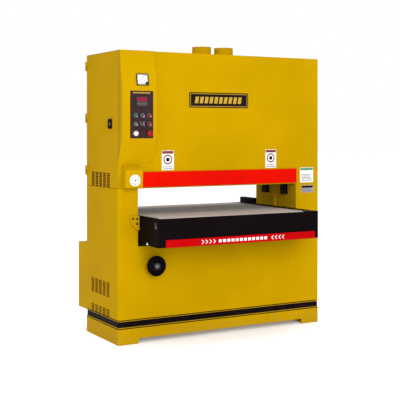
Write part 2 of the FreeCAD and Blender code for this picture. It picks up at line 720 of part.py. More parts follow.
def stop_strip():
    """The push bar along the table's front edge, on two short guide pins."""
    x = ("LEFT + strip_x", "LEFT + strip_x + strip_w")
    back = "TABLE_F - strip_gap"
    return slab("stop_strip", x, (f"{back} - strip_t", back), ("TABLE_LO - 1", "TABLE_LO - 1 + strip_rise"))


def side_gusset():
    """A triangular plate on the table's left side that runs in front of the column."""
    x0, x1 = "TABLE_L - gusset_w", "TABLE_L"
    z1 = "TABLE_LO + gusset_rise + 82"
    outline = [
        (x1, f"{z1} - gusset_rise"), (x1, z1), (x0, z1), (x0, f"{z1} - 22"),
        (f"{x0} + 12", f"{z1} - 58"), (f"{x1} - 18", f"{z1} - gusset_rise + 4"),
    ]
    return padded("side_gusset", "XZ", outline, "FRONT - gusset_gap", "gusset_t")


def conveyor_gearmotor():
    """The gearmotor on the drive roller's end, with the block that holds it beside the table."""
    y = ("BACK + 18", "TABLE_B + 40")
    block = slab("bracket_block", ("TABLE_R", "TABLE_R + bracket_t"), y, ("TABLE_LO + 25", "table_z + 33"))
    profile = [("0", "0"), ("58", "0"), ("58", "60"), ("46", "62"), ("46", "140"), ("0", "140")]
    motor = turned("gearmotor_body", profile, "x", ("TABLE_R + bracket_t", "ROLLER_B", "ROLLER_Z"))
    bore = rod(
        "bracket_bore", "x", ("TABLE_R - 1", "ROLLER_B", "ROLLER_Z"), "journal_r + running",
        "bracket_t + 1",
    )
    return cut("conveyor_gearmotor", fuse("gearmotor_on_bracket", block, motor), bore)


def lift_screws():
    """Two threaded columns that hang from the table's middle beam."""
    length = "TABLE_LO - (NUT_LO - lift - 20)"
    bars = [
        rod(
            f"lift_screw_{side}", "z", (f"{side} * lift_x", "0", f"TABLE_LO - ({length})"), "screw_r",
            length,
        )
        for side in (-1, 1)
    ]
    return group("lift_screws", *bars)


# ---- table lift -------------------------------------------------------------------------

def sprocket_nut(name, side):
    """A nut with a chain sprocket on its lower end."""
    bore = "screw_r + running"
    profile = [
        (bore, "0"), ("sprocket_r", "0"), ("sprocket_r", "sprocket_t"),
        ("nut_r", "sprocket_t"), ("nut_r", "nut_rise - 1"), (bore, "nut_rise - 1"),
    ]
    return turned(name, profile, "z", (f"{side} * lift_x", "0", "NUT_LO"))


def lift_housings():
    """The flanged housings that the nuts turn in, and the bevel box for the handwheel, all under the deck."""
    bore = "nut_r + running"
    low = "sprocket_t + 4"
    profile = [
        (bore, low), ("nut_r + housing_t", low), ("nut_r + housing_t", "nut_rise"), (bore, "nut_rise"),
    ]
    housings = [
        turned(f"nut_housing_{side + 1}", profile, "z", (f"{side} * lift_x", "0", "NUT_LO"))
        for side in (-1, 1)
    ]
    x = ("-lift_x - gearbox_w / 2", "-lift_x + gearbox_w / 2")
    block = slab(
        "gearbox_block", x, ("GEARBOX_Y - gearbox_d", "GEARBOX_Y"), ("wheel_z - 30", "deck_z - plate"),
    )
    shaft_at = ("-lift_x", "GEARBOX_Y - gearbox_d - 1", "wheel_z")
    shaft_hole = rod("gearbox_bore", "y", shaft_at, "wheel_shaft_r + running", "gearbox_d - 9")
    return group("lift_housings", *housings, cut("lift_gearbox", block, shaft_hole))


def lift_chain():
    """The chain round both sprockets."""
    wheels = [("-lift_x", "0", "sprocket_r + skin"), ("lift_x", "0", "sprocket_r + skin")]
    return loop("lift_chain", "z", "NUT_LO", "sprocket_t", wheels, "chain_t")


def handwheel():
    """A dished wheel with a round rim on its shaft."""
    rim = "wheel_r - 12"
    reach = "GEARBOX_Y - 12 - FRONT"
    profile = [
        ("0", "wheel_out"), ("18", "wheel_out"), ("22", "wheel_out - 6"), (rim, "wheel_out - 12"),
        (f"{rim} + 4", "wheel_out - 3"), ("wheel_r - 4", "wheel_out - 3"), ("wheel_r", "wheel_out - 8"),
        ("wheel_r", "wheel_out - 18"), ("wheel_r - 4", "wheel_out - 23"), (rim, "wheel_out - 21"),
        ("22", "wheel_out - 22"), ("20", "8"), ("wheel_shaft_r", "8"), ("wheel_shaft_r", f"-({reach})"),
        ("0", f"-({reach})"),
    ]
    return facing(turned("handwheel", profile, "y", ("-lift_x", "FRONT", "wheel_z")))


# ---- sanding head -----------------------------------------------------------------------

def roller_on_shaft(radius, shaft, left, right):
    """Corners of a roller as wide as the drum on a shaft from left to right."""
    face = ("HEAD_X - drum_w / 2", "HEAD_X + drum_w / 2")
    return [
        ("0", left), (shaft, left), (shaft, face[0]), (radius, face[0]),
        (radius, face[1]), (shaft, face[1]), (shaft, right), ("0", right),
    ]


def contact_drum():
    """The driven rubber-faced drum, its shaft and its grooved pulley."""
    pulley = ("RIGHT - right_w / 2 - pulley_w / 2", "RIGHT - right_w / 2 + pulley_w / 2")
    corners = roller_on_shaft("drum_r", "shaft_r", "END_L", pulley[1])
    corners[-2:] = [
        ("shaft_r", pulley[0]), ("drum_pulley_r", pulley[0]), ("drum_pulley_r", pulley[1]),
        ("0", pulley[1]),
    ]
    return turned("contact_drum", corners, "x", ("0", "0", "drum_z"))


def bearing_plate(name, x, feet):
    """A plate at one end of the head, bored for the drum and both pressure rollers.

    feet are the corners of its lower edge, from back to front of the outline.
    """
    outline = [*feet, ("end_d / 2", "beam_lo"), ("-end_d / 2", "beam_lo")]
    bores = [
        ("0", "drum_z", "shaft_r + running"),
        ("-press_y", "press_z", "press_shaft_r + running"),
        ("press_y", "press_z", "press_shaft_r + running"),
    ]
    return padded(name, "YZ", outline, x, "end_t", bores)


def left_bearing_plate():
    """The end support that comes away to change the belt."""
    low = "throat_top + 4"
    return bearing_plate("left_bearing_plate", "END_L", [("-end_d / 2", low), ("end_d / 2", low)])


def right_bearing_plate():
    """The fixed end plate, with two legs that reach below the head."""
    low = "throat_top + 4"
    outer, inner = "end_d / 2", "(end_d / 2 - leg_d - 20)"
    feet = [
        (f"-{outer}", "leg_lo"), (f"-{inner}", "leg_lo"), (f"-{inner}", low),
        (inner, low), (inner, "leg_lo"), (outer, "leg_lo"),
    ]
    return bearing_plate("right_bearing_plate", "THROAT_R - end_t", feet)


def cantilever_beam():
    """The box beam that carries the head from the right column, with the tension cylinder on it."""
    x = ("END_L", "THROAT_R")
    y = ("-beam_d / 2", "beam_d / 2")
    z = ("beam_lo", "beam_hi")
    outside = slab("beam_outside", x, y, z)
    inside = slab("beam_inside", (f"{x[0]} - 1", f"{x[1]} + 1"), around(*y, "8"), around(*z, "8"))
    top = "yoke_lo - beam_hi - tension - 10"
    bore = "rod_r + running"
    profile = [("0", "0"), ("cylinder_r", "0"), ("cylinder_r", top), (bore, top), (bore, "30"), ("0", "30")]
    cylinder = turned("tension_cylinder", profile, "z", ("HEAD_X", "0", "beam_hi"))
    return fuse("cantilever_beam", cut("beam_tube", outside, inside), cylinder)


def tension_yoke():
    """A bar with an arm at each end that holds the upper roller, on the cylinder's rod."""
    x = ("HEAD_X - drum_w / 2 - 4 - yoke_t", "HEAD_X + drum_w / 2 + 4 + yoke_t")
    y = ("-yoke_t", "yoke_t")
    bar = slab("yoke_bar", x, y, ("yoke_lo", "yoke_lo + yoke_rise"))
    arms = [
        slab(f"yoke_arm_{tag}", span, y, ("yoke_lo", "ROLL_Z + 30"))
        for tag, span in (("l", (x[0], f"{x[0]} + yoke_t")), ("r", (f"{x[1]} - yoke_t", x[1])))
    ]
    stem = rod(
        "yoke_stem", "z", ("HEAD_X", "0", "beam_hi + 30 + tension + 4"), "rod_r",
        "yoke_lo - beam_hi - 30 - tension - 3",
    )
    bore = rod(
        "yoke_bore", "x", (f"{x[0]} - 1", "0", "ROLL_Z"), "journal_r + running",
        "drum_w + 10 + 2 * yoke_t",
    )
    return cut("tension_yoke", fuse("yoke_welded", bar, *arms, stem), bore)


def tracking_roller():
    """The free upper roller."""
    left = "HEAD_X - drum_w / 2 - 4 - yoke_t"
    right = "HEAD_X + drum_w / 2 + 4 + yoke_t"
    return turned(
        "tracking_roller", roller_on_shaft("roll_r", "journal_r", left, right), "x",
        ("0", "0", "ROLL_Z"),
    )


def abrasive_belt():
    """The wide sanding belt round the drum and the upper roller."""
    wheels = [("0", "drum_z", "drum_r + skin"), ("0", "ROLL_Z", "roll_r + skin")]
    return loop("abrasive_belt", "x", "HEAD_X - abrasive_w / 2", "abrasive_w", wheels, "abrasive_t")


def pressure_roller(name, side):
    """A free roller that holds the board down."""
    corners = roller_on_shaft("press_r", "press_shaft_r", "END_L", "THROAT_R - 1")
    return turned(name, corners, "x", ("0", f"{side} * press_y", "press_z"))


# ---- main drive -------------------------------------------------------------------------

def main_motor():
    """The foot-mounted motor inside the lower cabinet."""
    profile = [
        ("0", "-motor_l"), ("motor_r - 10", "-motor_l"), ("motor_r", "-motor_l + 20"), ("motor_r", "-20"),
        ("motor_r - 20", "0"), ("motor_shaft_r + running", "0"), ("motor_shaft_r + running", "-60"),
        ("0", "-60"),
    ]
    shell = turned("motor_shell", profile, "x", ("MOTOR_R", "0", "motor_z"))
    x = ("MOTOR_R - motor_l + 60", "MOTOR_R - 60")
    foot = slab("motor_foot", x, ("-motor_r", "motor_r"), ("base_rise", "base_rise + 12"))
    legs = [
        slab(
            f"motor_leg_{side}", x, (f"{side} * 70 - 12", f"{side} * 70 + 12"),
            ("base_rise", "motor_z - 60"),
        )
        for side in (-1, 1)
    ]
    return fuse("main_motor", shell, foot, *legs)


def motor_pulley():
    """The motor's shaft end and its grooved pulley."""
    pulley = ("RIGHT - right_w / 2 - pulley_w / 2", "RIGHT - right_w / 2 + pulley_w / 2")
    profile = [
        ("0", "MOTOR_R - 58"), ("motor_shaft_r", "MOTOR_R - 58"), ("motor_shaft_r", pulley[0]),
        ("motor_pulley_r", pulley[0]), ("motor_pulley_r", pulley[1]), ("0", pulley[1]),
    ]
    return turned("motor_pulley", profile, "x", ("0", "0", "motor_z"))


def drive_belts():
    """Three V-belts side by side."""
    wheels = [("0", "motor_z", "motor_pulley_r + skin"), ("0", "drum_z", "drum_pulley_r + skin")]
    starts = [f"RIGHT - right_w / 2 + {offset} * (vee_w + 5) - vee_w / 2" for offset in (-1, 0, 1)]
    return group("drive_belts", *[
        loop(f"drive_belt_{index}", "x", start, "vee_w", wheels, "vee_t")
        for index, start in enumerate(starts)
    ])


# ---- electrical cabinet -----------------------------------------------------------------

def box_hinge_heights():
    """Lowest point of each hinge of the electrical cabinet's door."""
    return [f"BAND + {share} * (box_hi - BAND)" for share in (0.12, 0.74)]


def box_half_hinges(tag, offset, tab_y):
    """One half of each cabinet hinge: a knuckle and the tab that joins it to its sheet."""
    parts = []
    for index, low in enumerate(box_hinge_heights()):
        z = (f"{low} + {offset}", f"{low} + {offset} + knuckle_l - 0.5")
        parts.append(
            rod(
                f"{tag}_knuckle_{index}", "z", ("BOX_HINGE_X", "BOX_HINGE_Y", z[0]), "box_knuckle_r",
                "knuckle_l - 0.5",
            ),
        )
        parts.append(slab(f"{tag}_tab_{index}", ("LEFT + box_w - 1", "BOX_HINGE_X"), tab_y, z))
    return parts


def electrical_cabinet():
    """A box on the back with a cable gland under it, open where its door closes it."""
    x = ("LEFT", "LEFT + box_w")
    y = ("BACK", "BACK + box_d")
    z = ("BAND", "box_hi")
    outside = slab("box_outside", x, (y[0], f"{y[1]} - box_wall"), z)
    inside = slab(
        "box_inside", around(*x, "box_wall"), (f"{y[0]} + box_wall", f"{y[1]} + 1"),
        around(*z, "box_wall"),
    )
    gland_at = ("LEFT + box_w / 2", "BACK + box_d / 2")
    gland = rod("gland_boss", "z", (*gland_at, "BAND - gland_l"), "gland_r", "gland_l")
    bore = rod("gland_hole", "z", (*gland_at, "BAND - gland_l - 1"), "gland_bore", "gland_l + box_wall + 2")
    hinges = box_half_hinges("box", "0", (f"{y[1]} - 2 * box_wall", f"{y[1]} - box_wall"))
    pins = [
        rod(f"box_pin_{index}", "z", ("BOX_HINGE_X", "BOX_HINGE_Y", low), "pin_r", "2 * knuckle_l - 2")
        for index, low in enumerate(box_hinge_heights())
    ]
    return cut(
        "electrical_cabinet",
        fuse("box_with_gland", cut("box_shell", outside, inside), gland, *hinges, *pins), bore,
    )


def cabinet_door():
    """The box's door, hung from its right-hand edge."""
    x = ("LEFT", "LEFT + box_w")
    y = ("BACK + box_d - box_wall + 0.5", "BACK + box_d + 0.5")
    door = slab("box_door_sheet", x, y, ("BAND", "box_hi"))
    hole = rod(
        "box_lock_hole", "y", ("LEFT + 25", "BACK + box_d - box_wall - 1", "(BAND + box_hi) / 2"),
        "latch_shaft_r", "6",
    )
    bores = [
        rod(
            f"box_door_bore_{index}", "z", ("BOX_HINGE_X", "BOX_HINGE_Y", low), "pin_r + running",
            "2 * knuckle_l",
        )
        for index, low in enumerate(box_hinge_heights())
    ]
    return cut(
        "cabinet_door", fuse("box_door_welded", door, *box_half_hinges("box_door", "knuckle_l", y)),
        hole, *bores,
    )


def cabinet_lock():
    """A quarter-turn lock through the door, with its cam inside."""
    at = ("LEFT + 25", "BACK + box_d - box_wall - 10", "(BAND + box_hi) / 2")
    barrel = rod("lock_barrel", "y", at, "latch_shaft_r - 0.1", "box_wall + 11")
    head = rod("lock_head", "y", (at[0], "BACK + box_d + 0.8", at[2]), "12", "6")
    cam = slab(
        "lock_cam", (f"{at[0]} - 6", f"{at[0]} + 6"), (f"{at[1]} - 3", at[1]),
        (f"{at[2]} - 6", f"{at[2]} + 26"),
    )
    return fuse("cabinet_lock", barrel, head, cam)


# ---- belt-change door -------------------------------------------------------------------

def side_door():
    """The sheet that opens to change the belt, with its hinge knuckles and leaves."""
    x = ("LEFT", "LEFT + sheet")
    parts = [
        slab(
            "door_sheet", x, ("FRONT + sheet + door_gap", "BACK - sheet - door_gap"),
            ("door_lo", "cab_h - sheet - door_gap"),
        ),
    ]
    for index, low in enumerate(hinge_heights()):
        above = f"{low} + knuckle_l + 0.5"
        rise = "knuckle_l - 0.5"
        knuckle = rod(f"door_knuckle_{index}", "z", ("HINGE_X", "HINGE_Y", above), "knuckle_r", rise)
        leaf = slab(
            f"door_leaf_{index}", ("HINGE_X - 1", "LEFT"), ("BACK - 40", "HINGE_Y - pin_r - 1"),
            (above, f"{above} + {rise}"),
        )
        parts += [knuckle, leaf]
    bores = [
        rod(
            f"door_pin_bore_{index}", "z", ("HINGE_X", "HINGE_Y", f"{low} + knuckle_l"),
            "pin_r + running", "knuckle_l + 1",
        )
        for index, low in enumerate(hinge_heights())
    ]
    at = ("LEFT - 1", "FRONT + latch_y + latch_w / 2", "latch_lo + latch_rise / 2")
    bores.append(rod("door_latch_hole", "x", at, "latch_shaft_r", "sheet + 2"))
    return cut("side_door", fuse("door_welded", *parts), *bores)


def door_latch():
    """A paddle handle on a spindle through the door, with its tongue inside."""
    y = ("FRONT + latch_y", "FRONT + latch_y + latch_w")
    z = ("latch_lo", "latch_lo + latch_rise")
    paddle = slab("latch_paddle", ("LEFT - 1 - latch_t", "LEFT - 1"), y, z)
    middle = (f"({y[0]} + {y[1]}) / 2", f"({z[0]} + {z[1]}) / 2")
    spindle = rod("latch_spindle", "x", ("LEFT - 2", *middle), "latch_shaft_r - 0.1", "sheet + 12")
    tongue = slab(
        "latch_tongue", ("LEFT + sheet + 7", "LEFT + sheet + 10"),
        (f"{middle[0]} - 45", middle[0]), (f"{middle[1]} - 8", f"{middle[1]} + 8"),
    )
    return fuse("door_latch", paddle, spindle, tongue)


# ---- all the pieces, under their names --------------------------------------------------

pieces = [
    base_plinth(), base_band(), lower_panels(), deck_plate(), left_column(), right_column(),
    head_front_cover(), head_rear_cover(), head_top_cover(), dust_ports(), console_cover(), control_panel(),
    panel_fittings(), ammeter_case(), ammeter_needle(), left_end_housing(), gauge_disc(), infeed_guard(),
    guard_screws(), info_plates(), table_frame(), table_bed(), table_front(), conveyor_belt(), stop_strip(),
    side_gusset(), conveyor_gearmotor(), lift_screws(), lift_housings(), lift_chain(),
    handwheel(), contact_drum(), cantilever_beam(), tension_yoke(),
    tracking_roller(), abrasive_belt(), main_motor(), motor_pulley(), drive_belts(), electrical_cabinet(),
    cabinet_door(), cabinet_lock(), side_door(), door_latch(), emergency_stop(),
    left_bearing_plate(), right_bearing_plate(),
]
for button in ("start_button", "feed_button", "stop_button", "reverse_button", "feed_stop_button"):
    pieces.append(push_button(button))
pieces.append(turning_knob("mode_selector", "hole_r", "bezel_t + 8"))
pieces.append(turning_knob("speed_knob", "knob_r", "bezel_t + 16"))
pieces.append(sprocket_nut("sprocket_nut_left", -1))
pieces.append(sprocket_nut("sprocket_nut_right", 1))
pieces.append(conveyor_roller("idler_roller", "ROLLER_F", "0"))
pieces.append(conveyor_roller("drive_roller", "ROLLER_B", "bracket_t - 0.5"))
pieces.append(pressure_roller("infeed_roller", -1))
pieces.append(pressure_roller("outfeed_roller", 1))

doc.recompute()
for item in doc.Objects:
    if "Invalid" in item.State or "Error" in item.State:
        raise RuntimeError(f"{item.Name} failed: {item.State}")
os.makedirs("parts", exist_ok=True)
for piece in pieces:
    shape = piece.Shape
    if shape.isNull() or not shape.isValid() or not shape.Solids:
        raise RuntimeError(f"{piece.Label} has no valid solid")
    shape.exportStep(f"parts/{piece.Label}.step")
    print(piece.Label, len(shape.Solids), round(shape.Volume / 1e3, 1), "cm3")
print(len(pieces), "pieces")
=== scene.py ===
# %% [markdown]
# # A wide-belt sander, finished in Blender
#
# The machine's design is already fixed as a set of CAD nodes, each on the body that moves it.
# This lesson gives those nodes their finishes and replaces the plain ones with formed sheet
# metal, turned knobs and pressed louvres.  Every length is in metres, +Z is up, and the
# operator stands on the -Y side.

# %% Load the frame
import json
import math

import bmesh
import bpy
import numpy as np
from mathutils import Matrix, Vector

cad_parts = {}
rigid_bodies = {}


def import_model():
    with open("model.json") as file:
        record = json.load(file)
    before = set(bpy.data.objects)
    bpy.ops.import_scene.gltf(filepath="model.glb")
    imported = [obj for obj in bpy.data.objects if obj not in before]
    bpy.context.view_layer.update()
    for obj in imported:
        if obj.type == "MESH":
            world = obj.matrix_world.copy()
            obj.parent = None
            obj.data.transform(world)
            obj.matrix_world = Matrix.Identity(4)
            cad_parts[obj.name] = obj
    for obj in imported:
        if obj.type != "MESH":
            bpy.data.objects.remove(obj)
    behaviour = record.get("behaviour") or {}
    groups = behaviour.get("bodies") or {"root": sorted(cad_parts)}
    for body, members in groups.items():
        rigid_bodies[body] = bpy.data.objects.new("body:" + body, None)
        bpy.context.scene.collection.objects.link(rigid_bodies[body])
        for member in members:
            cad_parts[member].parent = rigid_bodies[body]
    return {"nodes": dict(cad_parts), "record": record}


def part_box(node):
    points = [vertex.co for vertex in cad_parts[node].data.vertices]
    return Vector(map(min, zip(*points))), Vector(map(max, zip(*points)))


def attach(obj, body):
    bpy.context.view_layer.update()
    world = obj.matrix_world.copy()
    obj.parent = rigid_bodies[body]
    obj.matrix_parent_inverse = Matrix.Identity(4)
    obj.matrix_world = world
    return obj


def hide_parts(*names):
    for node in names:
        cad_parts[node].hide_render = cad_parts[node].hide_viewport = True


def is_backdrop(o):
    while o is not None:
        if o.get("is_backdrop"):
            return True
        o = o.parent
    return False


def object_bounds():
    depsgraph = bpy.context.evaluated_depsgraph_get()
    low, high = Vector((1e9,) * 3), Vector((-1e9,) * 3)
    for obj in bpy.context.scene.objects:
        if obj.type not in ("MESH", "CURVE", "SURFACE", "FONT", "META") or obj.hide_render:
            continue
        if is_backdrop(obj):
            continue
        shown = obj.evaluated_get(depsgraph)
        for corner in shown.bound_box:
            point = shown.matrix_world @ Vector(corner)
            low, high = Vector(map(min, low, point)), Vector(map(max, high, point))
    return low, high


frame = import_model()
cad_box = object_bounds()
nodes = frame["nodes"]


# %% [markdown]
# ## Places
#
# Everything is placed from the CAD boxes.  A small helper gives a node's low and high corners
# as numpy arrays, and the planes that many pieces share get a name.

# %% Named places
def span(node):
    """Low and high corner of a CAD node at rest."""
    low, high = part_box(node)
    return np.array(low), np.array(high)


def front_middle(node, depth):
    """The middle of a CAD node as the operator sees it, at the given y."""
    low, high = span(node)
    return np.array([(low[0] + high[0]) / 2, depth, (low[2] + high[2]) / 2])


(LEFT, FRONT, _), (RIGHT, BACK, _) = span("base_plinth")
(_, _, THROAT), (_, _, TOP) = span("head_front_cover")
TABLE_LOW, TABLE_HIGH = span("table_frame")
print("cabinet", np.round([RIGHT - LEFT, BACK - FRONT, TOP], 3), "throat's top at", round(THROAT, 3))


# %% [markdown]
# ## Camera and light
#
# The machine is seen from its front left, at chest height, through a long lens.  Its uprights
# stay parallel because the camera is level, and a lens shift brings the machine to the middle.
# One large soft light in front, with weaker ones on the left and above, gives a plain
# product-shot shading.

# %% Camera
camera_data = bpy.data.cameras.new("studio_camera")
camera_data.lens = 83.85
camera_data.sensor_width = 36.0
camera_data.shift_y = -0.169
camera = bpy.data.objects.new("studio_camera", camera_data)
camera.location = (-3.088, -5.421, 1.298)
camera.rotation_euler = (math.radians(90), 0, math.radians(-29.356))
bpy.context.scene.collection.objects.link(camera)
bpy.context.scene.camera = camera
print("camera at", camera.location[:])


# %% Lights and sky
def area_light(name, place, target, size, power):
    """A square soft light at place that points at target."""
    data = bpy.data.lights.new(name, "AREA")
    data.size = size
    data.energy = power
    light = bpy.data.objects.new(name, data)
    light.location = place
    aim = np.array(target) - np.array(place)
    heading = math.atan2(aim[0], aim[1])
    drop = math.atan2(aim[2], math.hypot(aim[0], aim[1]))
    light.rotation_euler = (math.radians(90) + drop, 0, -heading)
    bpy.context.scene.collection.objects.link(light)


MIDDLE = (0, 0, 0.9)
area_light("key_light", (-1.6, -6.4, 3.0), MIDDLE, 3.5, 315)
area_light("side_light", (-6.0, -1.5, 2.6), MIDDLE, 3.0, 30)
area_light("top_light", (0.0, 0.5, 5.5), MIDDLE, 4.0, 120)
world = bpy.data.worlds.new("studio")
world.use_nodes = True
sky = world.node_tree.nodes["Background"].inputs
sky["Color"].default_value = (1.0, 1.0, 1.0, 1.0)
sky["Strength"].default_value = 1.0
bpy.context.scene.world = world
bpy.context.scene.view_settings.view_transform = "Standard"
print("lights:", len(bpy.data.lights))


# %% [markdown]
# ## Surfaces from numpy
#
# A shape here is a grid of points.  Row after row, each row is one closed ring, and neighbouring
# rings are joined by quads.  `skin` turns such a grid into a closed mesh, and everything that
# follows is only a formula for the rings.

# %% Grid of rings to mesh
def mesh_piece(name, points, faces, material=None, smooth=True):
    """A new object from an array of points and a list of faces."""
    mesh = bpy.data.meshes.new(name)
    mesh.from_pydata(points.tolist(), [], [tuple(face) for face in faces])
    mesh.validate()
    mesh.polygons.foreach_set("use_smooth", np.full(len(mesh.polygons), smooth))
    piece = bpy.data.objects.new(name, mesh)
    bpy.context.scene.collection.objects.link(piece)
    if material:
        mesh.materials.append(material)
    return piece


def ring_faces(rings, around, capped=True):
    """Quads that join ring i to ring i+1, and one flat face over each end ring."""
    i, j = np.meshgrid(np.arange(rings - 1), np.arange(around), indexing="ij")
    here, there, after = i * around, (i + 1) * around, (j + 1) % around
    faces = np.stack([here + j, here + after, there + after, there + j], -1).reshape(-1, 4).tolist()
    if capped:
        faces.append([k for k in range(around - 1, -1, -1)])
        faces.append([(rings - 1) * around + k for k in range(around)])
    return faces


def skin(name, rings, material, closed_path=False, smooth=True):
    """A closed mesh over rings[i, j]: ring i, point j.  On a closed path the last ring meets the first."""
    count, around, _ = rings.shape
    if closed_path:
        faces = (np.array(ring_faces(count + 1, around, capped=False)) % (count * around)).tolist()
    else:
        faces = ring_faces(count, around)
    return mesh_piece(name, rings.reshape(-1, 3), faces, material, smooth)


def sharpen(piece, angle=35):
    """Keep edges sharper than angle degrees crisp, and smooth the rest."""
    piece.data.set_sharp_from_angle(angle=math.radians(angle))
    return piece


# %% Joining pieces
def join(name, parts):
    """Several mesh objects as one piece with their materials."""
    points, faces, slots, smooth, materials = [], [], [], [], []
    offset = 0
    for part in parts:
        mesh = part.data
        coords = np.empty(len(mesh.vertices) * 3)
        mesh.vertices.foreach_get("co", coords)
        points.append(coords.reshape(-1, 3))
        materials += [material for material in mesh.materials if material not in materials]
        for polygon in mesh.polygons:
            faces.append([offset + corner for corner in polygon.vertices])
            slots.append(materials.index(mesh.materials[polygon.material_index]))
            smooth.append(polygon.use_smooth)
        offset += len(mesh.vertices)
        bpy.data.objects.remove(part)
    piece = mesh_piece(name, np.concatenate(points), faces)
    for material in materials:
        piece.data.materials.append(material)
    piece.data.polygons.foreach_set("material_index", slots)
    piece.data.polygons.foreach_set("use_smooth", smooth)
    return sharpen(piece)


# %% Facings
FACINGS = {
    "front": ((1, 0, 0), (0, 0, 1), (0, -1, 0)),
    "back": ((-1, 0, 0), (0, 0, 1), (0, 1, 0)),
    "left": ((0, -1, 0), (0, 0, 1), (-1, 0, 0)),
    "right": ((0, 1, 0), (0, 0, 1), (1, 0, 0)),
    "up": ((1, 0, 0), (0, 1, 0), (0, 0, 1)),
}


def placed(facing, centre, flat):
    """Turn (across, upward, outward) triples into places: centre + a * across + b * upward + c * outward."""
    return np.array(centre, float) + flat @ np.array(FACINGS[facing], float)


def at_rise(outline, rise):
    """The points of a flat outline, with one rise as their third number."""
    return np.column_stack([outline, np.full(len(outline), rise)])


# %% Rounded plates
LEAST_RADIUS = 0.0002


def rounded_loop(width, height, radius, steps=6):
    """A rectangle about 0 with round corners: quarter circles about (+-(width/2 - r), +-(height/2 - r))."""
    turn = (np.arange(4)[:, None] * math.pi / 2 + np.linspace(0, math.pi / 2, steps + 1)).ravel()
    side = np.repeat([[1, 1], [-1, 1], [-1, -1], [1, -1]], steps + 1, axis=0)
    reach = side * (np.array([width, height]) / 2 - radius)
    return reach + radius * np.stack([np.cos(turn), np.sin(turn)], -1)


def plate_rings(facing, centre, size, radius, profile, steps):
    """For each (inset, rise) of a profile, a rounded rectangle that much smaller and that far out."""
    rings = []
    for inset, rise in profile:
        wide, high = size[0] - 2 * inset, size[1] - 2 * inset
        loop = rounded_loop(wide, high, max(radius - inset, LEAST_RADIUS), steps)
        rings.append(placed(facing, centre, at_rise(loop, rise)))
    return np.array(rings)


def plate(name, facing, centre, size, radius, profile, material, steps=6):
    """A rounded plate, closed over its first and last ring."""
    return sharpen(skin(name, plate_rings(facing, centre, size, radius, profile, steps), material))


FILM = 0.0002


def layer(rise=FILM):
    """The profile of a thin layer of print or film."""
    return [(0, 0), (0, rise)]


# %% Turned pieces
TIP_RADIUS = 0.00005


def lathe(name, facing, centre, profile, material, steps=48, flutes=0, depth=0.0, fluted=()):
    """A turned piece: ring k has radius r_k at rise h_k.

    On the fluted rings the radius falls by depth * (1 + cos(flutes * angle)) / 2.
    """
    angle = np.linspace(0, 2 * math.pi, steps, endpoint=False)
    wave = depth * (1 + np.cos(flutes * angle)) / 2
    rings = []
    for k, (radius, rise) in enumerate(profile):
        reach = max(radius, TIP_RADIUS) - (wave if k in fluted else 0.0)
        outline = np.column_stack([reach * np.cos(angle), reach * np.sin(angle)])
        rings.append(placed(facing, centre, at_rise(outline, rise)))
    return sharpen(skin(name, np.array(rings), material))


def hoop(name, facing, centre, section, material, steps=64):
    """A ring: a closed section of (radius, rise), drawn clockwise, carried once round the axis."""
    angle = np.linspace(0, 2 * math.pi, steps, endpoint=False)[:, None]
    radius, rise = np.array(section).T
    rise = np.broadcast_to(rise, (steps, len(rise)))
    flat = np.stack([radius * np.cos(angle), radius * np.sin(angle), rise], -1)
    return sharpen(skin(name, placed(facing, centre, flat), material, closed_path=True))


# %% Bodies and replaced nodes
def settle(piece, body, slot, *replaced):
    """Let a finished piece ride on its body and stand for any CAD nodes; slot is not used."""
    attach(piece, body)
    if replaced:
        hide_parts(*replaced)


# %% [markdown]
# ## Arithmetic on sockets
#
# A finish is a small calculation: some noise, scaled, added to a colour.  `Wire` wraps one output
# of a node, so that ordinary expressions such as `1 - mask` add the Math nodes by themselves.

# %% Wire
class Wire:
    """One output in a material's tree; arithmetic on it adds Math nodes."""

    def __init__(self, tree, socket):
        self.tree, self.socket = tree, socket

    def node(self, kind, settings=None, inputs=None, output=0):
        """Any node: its settings are set first, then the values or links of its sockets."""
        made = self.tree.nodes.new(kind)
        for name, chosen in (settings or {}).items():
            setattr(made, name, chosen)
        for name, given in (inputs or {}).items():
            if isinstance(given, Wire):
                self.tree.links.new(given.socket, made.inputs[name])
            else:
                made.inputs[name].default_value = given
        return Wire(self.tree, made.outputs[output])

    def math(self, operation, *values):
        """A Math node over plain values."""
        return self.node("ShaderNodeMath", {"operation": operation}, dict(enumerate(values)))

    def __add__(self, other):
        return self.math("ADD", self, other)

    def __radd__(self, other):
        return self.math("ADD", other, self)

    def __sub__(self, other):
        return self.math("SUBTRACT", self, other)

    def __rsub__(self, other):
        return self.math("SUBTRACT", other, self)

    def __mul__(self, other):
        return self.math("MULTIPLY", self, other)

    def __rmul__(self, other):
        return self.math("MULTIPLY", other, self)

    def ramp(self, low, high):
        """0 below low, 1 above high and a smooth step between them."""
        ends = {"Value": self, "From Min": low, "From Max": high}
        return self.node("ShaderNodeMapRange", {"interpolation_type": "SMOOTHSTEP"}, ends)

    def mix(self, low, high):
        """Colour low where this is 0 and colour high where it is 1."""
        low, high = (c if isinstance(c, Wire) else (*c, 1.0) for c in (low, high))
        return self.node("ShaderNodeMix", {"data_type": "RGBA"}, {0: self, 6: low, 7: high}, 2)

    def noise(self, scale, detail=3.0, stretch=(1.0, 1.0, 1.0)):
        """Cloudy noise over a place; stretch makes it finer along an axis."""
        place = self.node("ShaderNodeMapping", {}, {"Vector": self, "Scale": stretch})
        return self.node("ShaderNodeTexNoise", {}, {"Vector": place, "Scale": scale, "Detail": detail})

    def axes(self):
        """The x, y and z of a place."""
        split = self.node("ShaderNodeSeparateXYZ", {}, {"Vector": self}).socket.node
        return [Wire(self.tree, output) for output in split.outputs]


# %% New finish and its shader
finishes = {}


